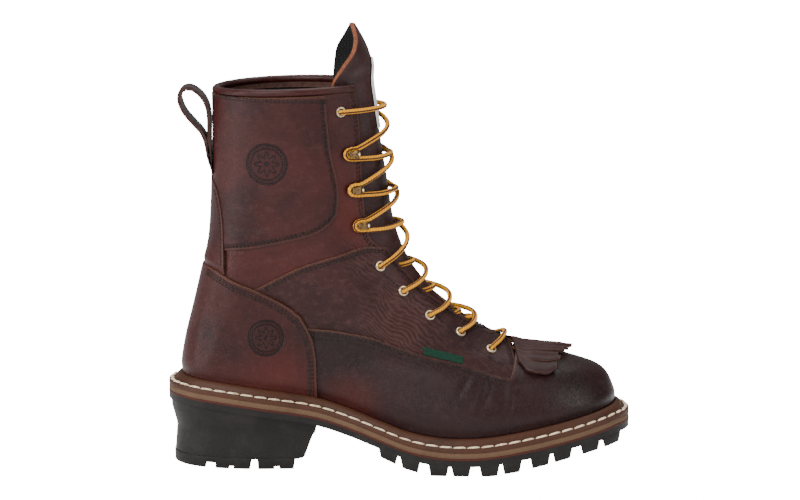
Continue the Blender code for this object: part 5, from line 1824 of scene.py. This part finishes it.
# %% Rows in dark thread
# line, first and last share of it that is sewn, distances beside it, height, in mm
facing_full = np.vstack((smooth(THROAT_LOW), facing_line[1:]))
hole_line = smooth(((0.440, 0.536), (0.503, 0.470), (0.565, 0.410), (0.640, 0.330), (0.728, 0.268)))
under_roll = np.array(((0.110, 0.982), (0.342, 0.977)))
SEAM_ROWS = (
    (facing_full, 0.03, 0.93, (-1.9, -3.5), 0.02),
    (quarter_line, 0.12, 0.98, (-1.9, -3.5), 0.02),
    (vamp_line, 0.03, 0.97, (-1.8, -3.3, -6.2), 0.02),
    (smooth(PANEL_LOW), 0.05, 1.0, (1.9, 3.5), 0.02),
    (smooth(PANEL_FRONT), 0.0, 0.93, (1.9, 3.5), 0.02),
    (counter_line, 0.20, 0.90, (-2.1, -3.7, -5.2), 0.55),
    (hole_line, 0.0, 1.0, (0.0,), 0.02),
    (throat_line, 0.06, 0.97, (1.6, 3.1), -1.88),
    (under_roll, 0.0, 1.0, (-1.6, -3.1), 0.02),
    (smooth(STAY_EDGE), 0.1, 0.8, (1.6,), 0.72),
)
dark_places = []
for line, low, high, amounts, out in SEAM_ROWS:
    for amount in amounts:
        dark_places += seam_places(trimmed(line, low, high), amount, out)
thread = bead(2.3, 1.05, 0.65)
mount(joined("leather_stitches", thread, dark_places, thread_dark), [])
thread.free()
print("dark stitches:", len(dark_places))

# %% [markdown]
# ## Welt stitches
# The cream lockstitch that holds the sole lies in a groove round the welt's shelf. Each
# stitch is long and thick, tilted with the shelf, and turned a little off its line.

# %% Welt stitches
STITCH_OUT = 7.4 * MM
SHELF_DROP = 4.85 * MM
WELT_PITCH = 9.0
STITCH_TURN = math.radians(7)

turn = np.linspace(0, 2 * math.pi, 900)
plan, _ = outline(turn, np.full(900, STITCH_OUT))
shelf = np.column_stack((plan, seat(plan[:, 0] + HEEL_CENTRE) - SHELF_DROP))
slope = (seat(plan[:, 0] + HEEL_CENTRE + 1e-3) - seat(plan[:, 0] + HEEL_CENTRE - 1e-3)) / 2e-3
tilt = np.column_stack((-slope, np.zeros(900), np.ones(900)))
thread = bead(8.6, 2.5, 2.0)
turned = Matrix.Rotation(STITCH_TURN, 4, "Z")
welt_places = [place @ turned for place in sewn(shelf, tilt, WELT_PITCH)[:-1]]
mount(joined("welt_stitches", thread, welt_places, thread_cream), [])
thread.free()
print("stitches:", len(dark_places) + len(welt_places))

# %% [markdown]
# ## Labels
# A small woven label is caught in the vamp's seam, and a cloth one lies on the tongue.
# Both are thin sheets over the leather below them, and both are left bare.


# %% Label
def label_place(u, v, out):
    low = np.array(((0.553, 0.305), (0.634, 0.281)))
    high = np.array(((0.551, 0.325), (0.637, 0.296)))
    x, z = patch(low, high, np.array((low[0], high[0])), np.array((low[1], high[1])), u, v).T
    angle, level = locate(x, z)
    return dressed(angle, level, out + 0.35 * MM - under_vamp(x, z) * 1.0 * MM)


def tongue_label_place(u, v, out):
    return tongue_place(0.385 + 0.36 * u, 0.645 + 0.185 * v, out + 1.1 * MM)


made = grid_piece("white_tongue_label", (16, 40), tongue_label_place, 0.5 * MM,
                  [white_cloth, white_cloth], bevel=0.15)
mount(made, [])
made = grid_piece("green_label", (30, 8), label_place, 0.9 * MM, [label_cloth, hole_black], bevel=0.2)
mount(made, ["side_label"])
print("labels sewn in")
